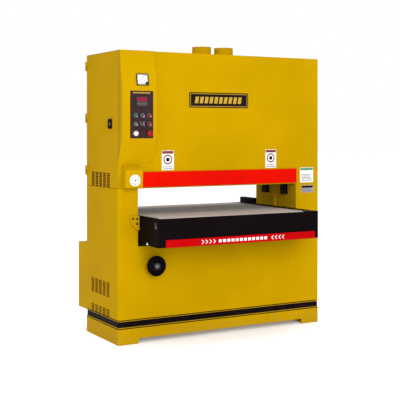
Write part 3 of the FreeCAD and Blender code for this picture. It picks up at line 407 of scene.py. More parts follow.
def new_finish(name):
    """An empty material and its object coordinates; finishes keeps it under its name."""
    material = finishes[name] = bpy.data.materials.new(f"finish_{name}")
    material.use_nodes = True
    tree = material.node_tree
    return material, Wire(tree, tree.nodes.new("ShaderNodeTexCoord").outputs["Object"])


def dress(material, sockets, height=None, rise=0.0003):
    """Fill the shader's sockets with numbers, colours or links; height is bumped by rise metres."""
    shader = material.node_tree.nodes["Principled BSDF"]
    if height is not None:
        bump = height.node("ShaderNodeBump", {}, {"Strength": 1.0, "Distance": rise, "Height": height})
        sockets = {**sockets, "Normal": bump}
    for name, given in sockets.items():
        if isinstance(given, Wire):
            material.node_tree.links.new(given.socket, shader.inputs[name])
        else:
            shader.inputs[name].default_value = (*given, 1.0) if isinstance(given, tuple) else given
    return material


def shades(colour, spread):
    """A colour's darker and lighter neighbours."""
    return tuple(c * (1 - spread) for c in colour), tuple(min(c * (1 + spread), 1.0) for c in colour)


# %% [markdown]
# ## Enamel
#
# The machine is sprayed with a thick baked enamel.  It is even, with a fine orange-peel skin, a
# slightly uneven gloss, and a little dust that gathers near the floor.  Noise at three scales
# gives those, because a real coat differs most where nobody sprayed twice.

# %% Painted steel
DUST = (0.20, 0.16, 0.10)
DUST_TOP = 0.16


def enamel(name, colour, roughness, specular, peel=0.00003):
    """Paint: tone = broad clouds + fine specks; dust = low places, broken by noise; bump = orange peel."""
    material, at = new_finish(name)
    clouds, specks = at.noise(2.5, 2.0), at.noise(90.0, 2.0)
    dark, light = shades(colour, 0.08)
    paint = (clouds * 0.8 + specks * 0.2).ramp(0.25, 0.75).mix(dark, light)
    dust = (1 - at.axes()[2].ramp(0.0, DUST_TOP)) * at.noise(30.0).ramp(0.35, 0.8) * 0.14
    return dress(material, {
        "Base Color": dust.mix(paint, DUST), "Specular IOR Level": specular,
        "Roughness": roughness + (clouds - 0.5) * 0.12 + (specks - 0.5) * 0.06 + dust * 0.3,
    }, at.noise(380.0, 2.0), peel)


yellow_enamel = enamel("yellow_enamel", (0.368, 0.212, 0.0), 0.36, 0.005)
black_enamel = enamel("black_enamel", (0.0035, 0.0018, 0.0025), 0.42, 0.015)
red_enamel = enamel("red_enamel", (0.52, 0.003, 0.0003), 0.36, 0.015)
strip_enamel = enamel("strip_enamel", (0.34, 0.0008, 0.002), 0.36, 0.015)
enamel("grey_enamel", (0.10, 0.11, 0.12), 0.5, 0.4, 0.0004)
gold_paint = enamel("gold_paint", (0.36, 0.225, 0.022), 0.4, 0.1)
print("enamels:", list(finishes))


# %% [markdown]
# ## Bare metal
#
# Ground shafts, zinc-plated screws and the chrome collars are bright, but never even: grinding
# leaves fine lines along one direction, and handling leaves cloudy patches in the gloss.

# %% Steel and aluminium
def metal(name, colour, roughness, stretch, lines=0.00004):
    """Metal: lines = noise drawn out along the grinding; patches = broad noise in the roughness."""
    material, at = new_finish(name)
    brushed, patches = at.noise(160.0, 4.0, stretch), at.noise(14.0)
    dark, light = shades(colour, 0.2)
    return dress(material, {
        "Base Color": brushed.ramp(0.3, 0.7).mix(dark, light), "Metallic": 1.0,
        "Roughness": roughness + (brushed - 0.5) * 0.2 + (patches - 0.5) * 0.25,
    }, brushed, lines)


bright_steel = metal("bright_steel", (0.62, 0.62, 0.60), 0.3, (0.2, 4.0, 4.0))
chrome = metal("chrome", (0.20, 0.20, 0.21), 0.25, (1.0, 1.0, 1.0), 0.00001)
metal("turned_aluminium", (0.74, 0.74, 0.73), 0.34, (8.0, 0.3, 0.3))
metal("needle_steel", (0.05, 0.05, 0.05), 0.4, (1.0, 1.0, 1.0))
dark_steel = metal("dark_steel", (0.10, 0.10, 0.11), 0.42, (1.0, 1.0, 1.0))
print("finishes with the metals:", len(finishes))


# %% [markdown]
# ## Plastics and print
#
# Moulded caps have a satin skin with a faint grain.  Printed plates are smooth and a little
# glossy.  Both use one recipe with different colours, because the difference is only in scale.

# %% Moulded and printed
def moulded(name, colour, roughness=0.35, grain=900.0, rise=0.00003, spread=0.10, specular=0.4):
    """Plastic: tone = soft clouds; bump = fine even grain; roughness varies with both."""
    material, at = new_finish(name)
    clouds, pits = at.noise(25.0), at.noise(grain, 2.0)
    dark, light = shades(colour, spread)
    return dress(material, {
        "Base Color": clouds.ramp(0.3, 0.7).mix(dark, light), "Specular IOR Level": specular,
        "Roughness": roughness + (pits - 0.5) * 0.15 + (clouds - 0.5) * 0.1,
    }, pits, rise)


black_plastic = moulded("black_plastic", (0.012, 0.011, 0.012), 0.4, specular=0.3)
white_plastic = moulded("white_plastic", (0.58, 0.58, 0.57))
teal_plastic = moulded("teal_plastic", (0.012, 0.085, 0.085), 0.3, specular=0.2)
grey_plastic = moulded("grey_plastic", (0.085, 0.080, 0.082), 0.35, specular=0.2)
red_plastic = moulded("red_plastic", (0.20, 0.002, 0.006), 0.3, specular=0.15)
panel_print = moulded("panel_print", (0.030, 0.014, 0.016), 0.45, 1500.0, specular=0.03)
white_print = moulded("white_print", (0.60, 0.59, 0.575), 0.4, 1500.0, 0.00001, 0.05)
black_print = moulded("black_print", (0.008, 0.004, 0.003), 0.35, 1500.0, 0.00001, 0.2, 0.04)
red_print = moulded("red_print", (0.14, 0.008, 0.012), 0.4, 1500.0, 0.00001)
silver_print = moulded("silver_print", (0.22, 0.21, 0.25), 0.4, 1500.0, 0.00001, 0.05)
green_print = moulded("green_print", (0.05, 0.20, 0.09), 0.4, 1500.0, 0.00001)
grey_print = moulded("grey_print", (0.10, 0.095, 0.10), 0.4, 1500.0, 0.00001)
purple_print = moulded("purple_print", (0.05, 0.02, 0.07), 0.4, 1500.0, 0.00001)
# Painted shade: the black inside holes, sockets and slots that are not cut; the same black draws the dark lap
# seams at the base band.
void_black = moulded("void_black", (0.004, 0.003, 0.002), 0.8, specular=0.05)
# Painted shade: the dark brown of the shaded openings under the louvre hoods.
louvre_shade = moulded("louvre_shade", (0.07, 0.012, 0.0005), 0.8, specular=0.05)
lit_red = moulded("lit_red", (0.16, 0.004, 0.020), 0.2, specular=0.15)
dress(lit_red, {"Emission Color": (0.9, 0.02, 0.08), "Emission Strength": 0.06})
dim_grey = moulded("dim_grey", (0.045, 0.036, 0.040), 0.4, specular=0.15)


# %% [markdown]
# ## Rubber, belt and abrasive
#
# The feed belt has a rough top that grips wood, the contact drum has slanting grooves that let
# air out from under the abrasive, and the abrasive cloth itself is red-brown grain on a backing.

# %% Feed belt
belt_finish, at = new_finish("feed_belt_rubber")
nubs = at.node("ShaderNodeTexVoronoi", {}, {"Vector": at, "Scale": 420.0, "Randomness": 0.8})
scuffs = at.noise(9.0, 4.0, (0.25, 1.0, 1.0))
sanded = (at.noise(3.0, 3.0) * 0.5 + scuffs * 0.5).ramp(0.35, 0.65)
BELT_DARK, BELT_PALE = (0.25, 0.216, 0.195), (0.345, 0.302, 0.272)
dress(belt_finish, {
    "Base Color": (nubs.ramp(0.0, 0.5) * 0.35 + sanded * 0.65).mix(BELT_DARK, BELT_PALE),
    "Specular IOR Level": 0.25, "Roughness": 0.72 + sanded * 0.15,
}, 1 - nubs, 0.0005)


# %% Drum rubber, vee belts and abrasive
drum_low, drum_high = span("contact_drum")
drum_centre = (drum_low + drum_high) / 2
grooved_rubber, at = new_finish("grooved_rubber")
x, y, z = at.axes()
turn = at.math("ARCTAN2", y - float(drum_centre[1]), z - float(drum_centre[2]))
groove = at.math("SINE", x * 350.0 + turn * 6.0).ramp(0.75, 0.95)
# The grooves are painted darker as well as bumped: painted shade in the grooves.
dress(grooved_rubber, {
    "Base Color": groove.mix((0.035, 0.030, 0.030), (0.008, 0.008, 0.008)), "Specular IOR Level": 0.3,
    "Roughness": 0.6 + at.noise(120.0) * 0.15,
}, 1 - groove, 0.001)

ribbed_rubber, at = new_finish("ribbed_rubber")
ribs = at.math("SINE", at.axes()[0] * 480.0)
# The valleys between ribs are painted darker than the crests: painted shade between the ribs.
dress(ribbed_rubber, {
    "Base Color": ribs.ramp(-0.4, 0.6).mix((0.006, 0.006, 0.006), (0.025, 0.024, 0.024)),
    "Specular IOR Level": 0.3, "Roughness": 0.55 + at.noise(200.0) * 0.2,
}, ribs, 0.0006)

abrasive_cloth, at = new_finish("abrasive_cloth")
grit, wear = at.noise(1400.0, 2.0), at.noise(6.0, 3.0, (1.0, 0.2, 0.2))
dress(abrasive_cloth, {
    "Base Color": (grit * 0.7 + wear * 0.3).ramp(0.35, 0.65).mix((0.10, 0.028, 0.014), (0.30, 0.11, 0.06)),
    "Specular IOR Level": 0.2, "Roughness": 0.75 + grit * 0.2,
}, grit, 0.0004)
print("finishes:", len(finishes))


# %% [markdown]
# ## The carried-over frame
#
# Most structural nodes already have the right shape.  Each gets its finish here.  Folded sheet
# and cast parts also need soft edges, because a knife-sharp edge never catches the light: a
# merged copy of the node gets a small bevel and stands for it.

# %% Finishes by node
FINISH = {
    "yellow_enamel": (
        "base_plinth", "electrical_cabinet", "cabinet_door", "lower_panels", "deck_plate", "left_column",
        "right_column", "head_front_cover", "head_rear_cover", "head_top_cover", "left_end_housing",
        "side_gusset", "side_door", "cantilever_beam", "tension_yoke", "left_bearing_plate", "table_bed",
    ),
    "black_enamel": ("base_band", "table_frame", "door_latch", "conveyor_gearmotor", "right_bearing_plate"),
    "red_enamel": ("infeed_guard",),
    "grey_enamel": ("main_motor", "lift_housings"),
    "bright_steel": ("lift_screws", "cabinet_lock"),
    "dark_steel": ("lift_chain", "sprocket_nut_left", "sprocket_nut_right", "motor_pulley"),
    "turned_aluminium": ("tracking_roller",),
    "grooved_rubber": ("contact_drum",),
    "ribbed_rubber": ("drive_belts", "drive_roller", "idler_roller", "infeed_roller", "outfeed_roller"),
    "feed_belt_rubber": ("conveyor_belt",),
    "abrasive_cloth": ("abrasive_belt",),
    "needle_steel": ("ammeter_needle",),
}
for finish_name, group in FINISH.items():
    for node in group:
        nodes[node].data.materials.clear()
        nodes[node].data.materials.append(finishes[finish_name])
print("finished nodes:", sum(len(group) for group in FINISH.values()))


# %% Soft edges
slot_of = {part["node"]: part["material_slot"] for part in frame["record"]["subparts"]}
SOFT = {
    0.004: ("base_plinth", "main_motor", "conveyor_gearmotor", "lift_housings"),
    0.002: (
        "left_column", "right_column", "head_front_cover", "head_rear_cover", "head_top_cover",
        "left_end_housing", "side_gusset", "electrical_cabinet", "lower_panels",
    ),
    0.0012: ("base_band", "table_frame", "cabinet_door", "side_door", "infeed_guard", "cabinet_lock"),
    0.006: ("door_latch",),
}
FLAT_SHEETS = (
    "side_door", "head_front_cover", "head_rear_cover", "head_top_cover", "electrical_cabinet",
    "cabinet_door", "infeed_guard",
)
SAME_PLACE, FLAT_ANGLE, EDGE_ANGLE = 0.000002, math.radians(0.4), math.radians(40)


def soften(node, width):
    """A merged copy of a CAD node, with its edges over 40 degrees rounded; it takes the node's place."""
    source = nodes[node]
    mesh = source.data.copy()
    shape = bmesh.new()
    shape.from_mesh(mesh)
    bmesh.ops.remove_doubles(shape, verts=shape.verts, dist=SAME_PLACE)
    bmesh.ops.dissolve_limit(shape, angle_limit=FLAT_ANGLE, verts=shape.verts, edges=shape.edges)
    shape.to_mesh(mesh)
    shape.free()
    mesh.polygons.foreach_set("use_smooth", np.full(len(mesh.polygons), node not in FLAT_SHEETS))
    piece = bpy.data.objects.new(f"{node}_shell", mesh)
    bpy.context.scene.collection.objects.link(piece)
    edge = piece.modifiers.new("soft_edge", "BEVEL")
    edge.width, edge.segments, edge.harden_normals = width, 3, True
    edge.limit_method, edge.angle_limit = "ANGLE", EDGE_ANGLE
    sharpen(piece)
    settle(piece, source.parent.name.removeprefix("body:"), slot_of[node], node)


for width, group in SOFT.items():
    for node in group:
        soften(node, width)
print("softened:", sum(len(group) for group in SOFT.values()))


# %% [markdown]
# ## Console cover
#
# The console is one folded sheet whose front bulges towards the operator and leans back above
# the controls.  Its bends are rolled, not creased, so the cover is a grid: up the front it
# follows a profile with rounded corners, and across it wraps round both side walls.

# %% Rounded profile
def filleted(points, radii, steps):
    """A polyline whose inner corners are arcs.

    An arc of radius r touches both sides of its corner, r / tan(half the corner's angle) from it.
    """
    points = np.array(points, float)
    path = [points[:1]]
    for before, corner, after, radius in zip(points, points[1:], points[2:], radii):
        a, b = ((end - corner) / np.linalg.norm(end - corner) for end in (before, after))
        half = math.acos(np.clip(a @ b, -1, 1)) / 2
        centre = corner + (a + b) / np.linalg.norm(a + b) * radius / math.sin(half)
        start, end = (corner + way * radius / math.tan(half) - centre for way in (a, b))
        share = np.linspace(0, 1, steps + 1)[:, None]
        arc = start * (1 - share) + end * share
        path.append(centre + arc / np.linalg.norm(arc, axis=1, keepdims=True) * radius)
    return np.concatenate(path + [points[-1:]])


# %% Console grid
console_low, console_high = span("console_cover")
FACE = console_low[1]
CHIN_END, BULGE_LOW, BULGE_HIGH = 1.101, span("control_panel")[0][2], 1.582
SLOPE_TOP = FRONT - 0.022
WALL_BEND, SHEET = 0.005, 0.0025
profile = filleted(
    [(FRONT, THROAT), (FRONT, CHIN_END), (FACE, BULGE_LOW), (FACE, BULGE_HIGH), (SLOPE_TOP, TOP)],
    (0.05, 0.05, 0.04), 10,
)
corner_turn = np.linspace(0, math.pi / 2, 7)


def console_point(front, height):
    """The path across at one height: left wall, corner arc, front, corner arc, right wall.

    Each arc's radius is 5 mm, or nine tenths of the wall's depth where that is less.
    """
    back = console_high[1]
    radius = min(WALL_BEND, 0.9 * (back - front))
    inward, deeper = radius * (1 - np.sin(corner_turn)), front + radius * (1 - np.cos(corner_turn))
    left = np.column_stack([console_low[0] + inward, deeper])[::-1]
    right = np.column_stack([console_high[0] - inward, deeper])
    return at_rise(np.concatenate([[[console_low[0], back]], left, right, [[console_high[0], back]]]), height)


console_grid = np.array([console_point(*place) for place in profile])
rows, columns, _ = console_grid.shape
i, j = np.meshgrid(np.arange(rows - 1) * columns, np.arange(columns - 1), indexing="ij")
faces = np.stack([i + j, i + j + 1, i + columns + j + 1, i + columns + j], -1).reshape(-1, 4).tolist()
faces.append([(rows - 1) * columns + k for k in range(columns)])
console_shell = sharpen(mesh_piece("console_shell", console_grid.reshape(-1, 3), faces, yellow_enamel), 30)
wall = console_shell.modifiers.new("sheet", "SOLIDIFY")
wall.thickness, wall.offset = SHEET, -1.0
settle(console_shell, "frame", "painted_yellow", "console_cover")
print("console", console_grid.shape, "face at", round(FACE, 3))


# %% [markdown]
# ## Louvres
#
# Cooling louvres are pressed through the sheet: each is a small hood that rises from the sheet
# at its top and ends in an open lip at its bottom.  One louvre is about eighty faces, and numpy
# repeats it over the whole group.

# %% One louvre, repeated
hood_across = np.linspace(0, 1, 11)
hood_down = np.array([[0, 0], [0.25, 0.35], [0.55, 0.8], [0.8, 1], [1, 1], [1, 0.62], [0.5, 0.1], [0, -0.15]])
HOOD_DEPTH = 0.0040
SLIT = np.array([[-0.48, 0], [0.48, 0], [0.48, -0.69], [-0.48, -0.69]])


def louvre_group(name, y_span, z_span, columns, rows, body):
    """Hoods on the left side, each over a slit painted dark brown as the shade in its opening.

    Across, a hood rises as sin(share)^0.35; down it, as a ramp that ends in a lip.
    """
    pitch = np.array([(y_span[1] - y_span[0]) / columns, (z_span[1] - z_span[0]) / rows])
    width, height = pitch * (0.72, 0.30)
    across, down, lift = hood_across[:, None], hood_down[:, 0], hood_down[:, 1]
    count = hood_across.size, down.size
    rise = np.where(lift > 0, np.sin(across * math.pi) ** 0.35 * lift, lift) * HOOD_DEPTH
    flat = np.stack([
        np.broadcast_to((across - 0.5) * width, count), np.broadcast_to((0.5 - down) * height, count), rise,
    ], -1)[:, ::-1]
    column, row = (np.indices((columns, rows)) + 0.5).reshape(2, -1)
    centres = np.column_stack([
        np.full(column.size, LEFT), y_span[0] + column * pitch[0], z_span[0] + row * pitch[1],
    ])[:, None]
    points = centres + placed("left", (0, 0, 0), flat.reshape(-1, 3))
    hood, corners = ring_faces(*count), across.size * down.size
    faces = [[copy * corners + k for k in face] for copy in range(column.size) for face in hood]
    settle(sharpen(mesh_piece(name, points.reshape(-1, 3), faces, yellow_enamel), 50), body, "painted_yellow")
    slit = SLIT * (width, pitch[1]) - (0, height / 2 + 0.0002)
    points = centres + placed("left", (0, 0, 0), at_rise(slit, 0.0003))
    faces = (np.arange(column.size)[:, None] * 4 + np.arange(4)[::-1]).tolist()
    # The slits are a thin sheet painted as the shade inside the louvre openings.
    shadow = mesh_piece(f"{name}_slits", points.reshape(-1, 3), faces, louvre_shade)
    shadow.modifiers.new("depth", "SOLIDIFY").thickness = 0.0004
    settle(shadow, body, "painted_black")
    print(name, column.size, "hoods")


louvre_group("door_louvres", (-0.130, 0.170), (0.961, 1.053), 5, 8, "belt_door")
louvre_group("column_louvres", (-0.124, 0.176), (0.280, 0.373), 5, 8, "frame")
louvre_group("low_louvres", (-0.123, 0.176), (0.155, 0.207), 5, 4, "frame")


# %% [markdown]
# ## Screws and bolts
#
# Sheet covers are held by button-head socket screws, and the table by hexagon bolts with
# washers.  Each is turned from a profile; a socket recess painted dark as its shade, or a chamfer, is what
# the eye looks for.

# %% Fasteners
def socket_screws(name, facing, places, radius, rise, body, head=chrome, *replaced):
    """Domed heads: radius falls as a quarter ellipse with rise; a dark hexagon, painted as the socket's
    shade, sits in each.
    """
    turn = np.linspace(0, math.pi / 2, 6)
    dome = [(radius, 0.0)]
    dome += [(radius * (0.45 + 0.55 * math.cos(t)), rise * (0.15 + 0.85 * math.sin(t))) for t in turn]
    # The socket is not cut: a black hexagon painted as its shade stands on the head.
    recess = [(radius * 0.4, rise * 0.5), (radius * 0.4, rise * 1.02)]
    parts = []
    for place in places:
        parts.append(lathe("head", facing, place, dome, head, 20))
        parts.append(lathe("recess", facing, place, recess, void_black, 6))
    settle(join(name, parts), body, "bright_steel", *replaced)
    print(name, len(places), "screws")


def hex_bolts(name, facing, places, radius, rise, body, head=dark_steel):
    """A washer, and a six-sided head whose top corners are chamfered."""
    washer = [(radius * 1.35, 0.0), (radius * 1.35, 0.0010), (radius * 1.25, 0.0014), (radius * 0.9, 0.0014)]
    bolt = [(radius, 0.0012), (radius, rise * 0.85), (radius * 0.86, rise)]
    parts = []
    for place in places:
        parts.append(lathe("washer", facing, place, washer, head, 24))
        parts.append(lathe("head", facing, place, bolt, head, 6))
    settle(join(name, parts), body, "bright_steel")
    print(name, len(places), "bolts")


# %% Screws and bolts in place
COVER_SCREW = 0.007
screw_low, screw_high = span("guard_screws")
screw_z = (screw_low[2] + screw_high[2]) / 2
screw_x = np.linspace(screw_low[0] + COVER_SCREW, screw_high[0] - COVER_SCREW, 4)
guard = [(x, screw_high[1], screw_z) for x in screw_x]
socket_screws("guard_heads", "front", guard, COVER_SCREW, 0.004, "frame", red_enamel, "guard_screws")
rear_heights = (THROAT + 0.02, 1.38, TOP - 0.02)
rear = [(x, BACK + 0.007, z) for x in np.linspace(LEFT + 0.03, RIGHT - 0.03, 6) for z in rear_heights]
socket_screws("rear_cover_screws", "back", rear, COVER_SCREW, 0.003, "frame")
side = [(RIGHT, y, z) for y in (FRONT + 0.025, BACK - 0.025) for z in (0.2, 0.58, 0.95, 1.38, 1.76)]
socket_screws("right_side_screws", "right", side, COVER_SCREW, 0.003, "frame")
table_right, table_front, table_top = TABLE_HIGH[0], TABLE_LOW[1], TABLE_HIGH[2]
flange = [
    (table_right - inset, table_front + back, table_top) for inset, back in ((0.078, 0.030), (0.045, 0.018))
]
hex_bolts("flange_bolts", "up", flange, 0.008, 0.006, "table")
hex_bolts("table_side_bolts", "left", [(TABLE_LOW[0], table_front + 0.03, 0.735)], 0.009, 0.006, "table")


# %% [markdown]
# ## Control panel
#
# The panel is a dark printed plate.  Everything on it sits in bright collars, in a grid of three
# columns and three rows, under a small display.  Places come from the CAD controls themselves.

# %% Panel plate and its ornament
PANEL_PROFILE = [(0, 0), (0, 0.0014), (0.0006, 0.002)]
panel_low, panel_high = span("control_panel")
panel_at, panel_size = front_middle("control_panel", FACE), (panel_high - panel_low)[[0, 2]]
panel_plate = plate("panel_plate", "front", panel_at, panel_size, 0.006, PANEL_PROFILE, panel_print)
settle(panel_plate, "frame", "panel_plate", "control_panel")


def sloped_blocks(name, centre, size, count, lean, material, body, slot):
    """A row of leaning blocks, a plain ornament: block k is a parallelogram one pitch along from the last."""
    pitch = size[0] / count
    corner = np.array([[0, 0], [0.68, 0], [0.68, 1], [0, 1]]) * (pitch, size[1]) - (size[0] / 2, size[1] / 2)
    corner[2:, 0] += lean
    flat = np.array([at_rise(corner + (k * pitch, 0), rise) for k in range(count) for rise in (0.0, FILM)])
    box = np.array([[3, 2, 1, 0], [4, 5, 6, 7], [0, 1, 5, 4], [1, 2, 6, 5], [2, 3, 7, 6], [3, 0, 4, 7]])
    faces = (np.arange(count)[:, None, None] * 8 + box).reshape(-1, 4).tolist()
    settle(mesh_piece(name, placed("front", centre, flat.reshape(-1, 3)), faces, material, False), body, slot)


panel_out = panel_low[1]
panel_top = (panel_at[0], panel_out, panel_high[2] - 0.012)
sloped_blocks("panel_ornament", panel_top, (0.118, 0.009), 9, 0.002, gold_paint, "frame", "printed_plate")


# %% Display
display_at = np.array([LEFT + 0.1315, panel_out, 1.486])
DISPLAY_RIM = [(0, 0), (0, 0.003), (0.001, 0.004), (0.004, 0.004), (0.005, 0.0028)]
WINDOW, WINDOW_RIM = (0.066, 0.024), [(0, 0), (0, 0.0004), (0.0004, 0.0006)]
display = [plate("display_frame", "front", display_at, (0.079, 0.064), 0.005, DISPLAY_RIM, black_plastic)]
WINDOW_RISE, MARK_RISE, ROW = 0.0028, 0.0034, 0.014
for upward, glass in ((ROW, lit_red), (-ROW, dim_grey)):
    window_at = display_at + (0, -WINDOW_RISE, upward)
    display.append(plate("window", "front", window_at, WINDOW, 0.002, WINDOW_RIM, glass))
settle(join("display_unit", display), "frame", "black_plastic", "panel_fittings")
DASH = (0.007, 0.0022)
dashes = [
    plate("dash", "front", display_at + (across, -MARK_RISE, ROW), DASH, 0.0006, layer(), red_print, 2)
    for across in (-0.018, -0.006, 0.006, 0.018)
]
settle(join("display_dashes", dashes), "frame", "red_plastic")
KEY = [(0.0042, 0), (0.0042, 0.0010), (0.0034, 0.0016)]
keys = [
    lathe("key", "front", display_at + (across, -MARK_RISE, -ROW), KEY, grey_plastic, 20)
    for across in (-0.021, -0.007, 0.007, 0.021)
]
settle(join("display_buttons", keys), "frame", "grey_plastic")
print("panel", np.round(panel_size, 3), "with", len(dashes), "dashes and", len(keys), "keys")


# %% Collars
CONTROLS = (
    "start_button", "feed_button", "stop_button", "reverse_button", "mode_selector", "feed_stop_button",
    "speed_knob", "emergency_stop",
)
COLLAR = [
    (0.0113, 0.0), (0.0113, 0.0050), (0.0120, 0.0066), (0.0132, 0.0070), (0.0142, 0.0062), (0.01475, 0.0045),
    (0.01475, 0.0),
]
SURROUND = [(0.0165, 0), (0.0165, 0.0003), (0.0178, 0.0003), (0.0178, 0)]
control_at = {node: front_middle(node, panel_out) for node in CONTROLS}
collars = [hoop("collar", "front", place, COLLAR, chrome, 40) for place in control_at.values()]
settle(join("control_collars", collars), "frame", "bright_steel")
surrounds = [hoop("surround", "front", place, SURROUND, black_plastic, 40) for place in control_at.values()]
settle(join("control_surrounds", surrounds), "frame", "grey_plastic")
print("collars:", len(collars))


# %% [markdown]
# ## Buttons and knobs
#
# A push cap is a shallow dish with a rolled lip, so that a finger finds its middle.  The selector
# has a grip bar, the speed knob a fluted skirt, and the stop control a broad mushroom head.

# %% Push caps
STEM = (0.0105, -0.022)
CAP = [
    STEM, (0.0105, 0.0078), (0.0101, 0.0092), (0.0092, 0.0099), (0.0078, 0.0096), (0.004, 0.0088),
    (0.0, 0.0086),
]
CAPS = {
    "start_button": ("start", teal_plastic, "green_plastic"),
    "stop_button": ("stop", red_plastic, "red_plastic"),
    "reverse_button": ("reverse", grey_plastic, "grey_plastic"),
    "feed_stop_button": ("feed_stop", red_plastic, "red_plastic"),
    "feed_button": ("feed", grey_plastic, "grey_plastic"),
}
for node, (body, plastic, slot) in CAPS.items():
    settle(lathe(f"{node}_cap", "front", control_at[node], CAP, plastic, 40), body, slot, node)
SPOT = [(0.0052, 0.0086), (0.0052, 0.0096), (0.0044, 0.0100)]
spot = lathe("feed_button_spot", "front", control_at["feed_button"], SPOT, black_plastic, 32)
settle(spot, "feed", "black_plastic")
print("push caps:", len(CAPS))


# %% Selector
selector_at = control_at["mode_selector"]
SELECTOR = [STEM, (0.0105, 0.012), (0.0100, 0.0142), (0.0086, 0.015)]
GRIP = [(0, 0), (0.0003, 0.0045), (0.0010, 0.0058)]
grip_at, line_at = selector_at + (0, -0.0145, 0), selector_at + (0, -0.0203, 0.004)
settle(join("selector_knob", [
    lathe("selector_body", "front", selector_at, SELECTOR, grey_plastic, 40, 24, 0.0007, (1, 2)),
    plate("selector_grip", "front", grip_at, (0.0045, 0.018), 0.0018, GRIP, black_plastic, 4),
    plate("selector_line", "front", line_at, (0.0012, 0.008), 0.0004, layer(), white_print, 2),
]), "selector", "grey_plastic", "mode_selector")
dots = [
    lathe("dot", "front", selector_at + (across, 0, 0.0145), [(0.0018, 0), (0.0018, 0.0003)], white_print, 16)
    for across in (-0.0125, 0.0125)
]
settle(join("selector_dots", dots), "frame", "printed_plate")


# %% Speed knob
speed_at = control_at["speed_knob"]
SKIRT = [
    STEM, (0.0105, 0.0078), (0.0150, 0.0078), (0.0150, 0.0120), (0.0138, 0.0135), (0.0128, 0.0205),
    (0.0112, 0.0229), (0.0, 0.0232),
]
line_at, line_size = speed_at + (0, -0.0230, 0.0055), (0.0014, 0.0105)
settle(join("speed_dial", [
    lathe("speed_body", "front", speed_at, SKIRT, white_plastic, 96, 16, 0.0008, (4, 5)),
    plate("speed_line", "front", line_at, line_size, 0.0004, layer(0.0006), black_plastic, 2),
]), "speed", "white_plastic", "speed_knob")
tick_angles, TICK_CIRCLE = np.radians(np.linspace(-135, 135, 11)), 0.0205
ticks = [
    lathe("tick", "front", speed_at + (TICK_CIRCLE * math.sin(a), 0, TICK_CIRCLE * math.cos(a)),
          [(0.0009, 0), (0.0009, 0.0003)], white_print, 10)
    for a in tick_angles
]
settle(join("speed_ticks", ticks), "frame", "printed_plate")


# %% Stop mushroom
MUSHROOM_R, MUSHROOM_RIM, MUSHROOM_RISE = 0.0200, 0.0165, 0.0100
mushroom = [STEM, (0.0105, 0.0115), (0.0185, 0.0115), (MUSHROOM_R, 0.0130), (MUSHROOM_R, MUSHROOM_RIM)]
mushroom += [
    (MUSHROOM_R * math.cos(t) ** 0.8, MUSHROOM_RIM + MUSHROOM_RISE * math.sin(t))
    for t in np.linspace(0, math.pi / 2, 9)[1:]
]
stop_head = lathe("stop_mushroom", "front", control_at["emergency_stop"], mushroom, red_plastic, 56)
settle(stop_head, "emergency", "red_plastic", "emergency_stop")
print("controls done:", len(CONTROLS))


# %% [markdown]
# ## Ammeter
#
# The square meter sits on the leaning part of the console.  Its white dial is set back behind a
# black rim, with an arc of plain divisions round the pivot, which a black quarter cover hides.
# The meter's parts use a facing of their own that leans back with the sheet.

# %% Leaning facing
lean = math.atan2(SLOPE_TOP - FACE, TOP - BULGE_HIGH)
FACINGS["sloped"] = ((1, 0, 0), (0, math.sin(lean), math.cos(lean)), (0, -math.cos(lean), math.sin(lean)))
METER_LEFT, METER_RIGHT, METER_RISE = LEFT + 0.097, LEFT + 0.177, 0.038
slope_foot = np.array([0, FACE, BULGE_HIGH])
meter_middle_x = (METER_LEFT + METER_RIGHT) / 2


def on_slope(across, upward, outward):
    """A place on the meter: across is the row's x, upward runs up the slope from the bend."""
    return tuple(placed("sloped", slope_foot, np.array([[across, upward, outward]]))[0])


def raised(name, facing, centre, outline, rises, material):
    """A flat outline, drawn counter-clockwise, as a thin solid between two rises."""
    rings = np.array([placed(facing, centre, at_rise(outline, rise)) for rise in rises])
    return skin(name, rings, material, smooth=False)


def division(facing, centre, pivot, angle, reach, half_width, rises, material):
    """A mark that points away from a pivot: its corners are pivot + along * reach -+ beside * half_width."""
    along = np.array([math.cos(angle), math.sin(angle)])
    beside = np.array([-along[1], along[0]]) * half_width
    inner, outer = pivot + along * reach[0], pivot + along * reach[1]
    outline = np.array([inner - beside, outer - beside, outer + beside, inner + beside])
    return raised("mark", facing, centre, outline, rises, material)


# %% Dial and its divisions
METER_RIM = [(0, 0), (0, 0.0085), (0.0012, 0.0099), (0.0040, 0.0099), (0.0052, 0.0088), (0.0056, 0.0042)]
PIVOT_COVER = [(0.0105, 0), (0.0105, 0.0010), (0.0092, 0.0014)]
case_at, dial_at = (on_slope(meter_middle_x, METER_RISE, out) for out in (0.0001, 0.0042))
pivot = np.array([METER_RIGHT - 0.014, 0.016])
cover_at = on_slope(pivot[0] + 0.002, pivot[1] - 0.002, 0.0084)
settle(join("ammeter_unit", [
    plate("meter_rim", "sloped", case_at, (0.080, 0.072), 0.004, METER_RIM, black_plastic),
    plate("meter_dial", "sloped", dial_at, (0.0686, 0.0606), 0.002, layer(0.0004), white_print, 3),
    lathe("meter_pivot_cover", "sloped", cover_at, PIVOT_COVER, black_plastic, 32),
]), "frame", "black_plastic", "ammeter_case")
METER_PRINT = (0.0045, 0.0048)
marks = []
for k, angle in enumerate(np.radians(np.linspace(92, 178, 31))):
    reach, half_width = ((0.0440, 0.0495), 0.0010) if k % 5 == 0 else ((0.0440, 0.0470), 0.0006)
    marks.append(division("sloped", slope_foot, pivot, angle, reach, half_width, METER_PRINT, black_print))
settle(join("ammeter_marks", marks), "frame", "black_plastic")
print("meter leans back", round(math.degrees(lean), 1), "degrees and has", len(marks), "marks")


# %% [markdown]
# ## Gauge, plates and labels
#
# The round gauge carries a ring of divisions.  The nameplate is black with a thin gold border
# and a plain ornament of leaning blocks, and the instruction labels have a coloured band, a
# ring and bars.  None of them has lettering.

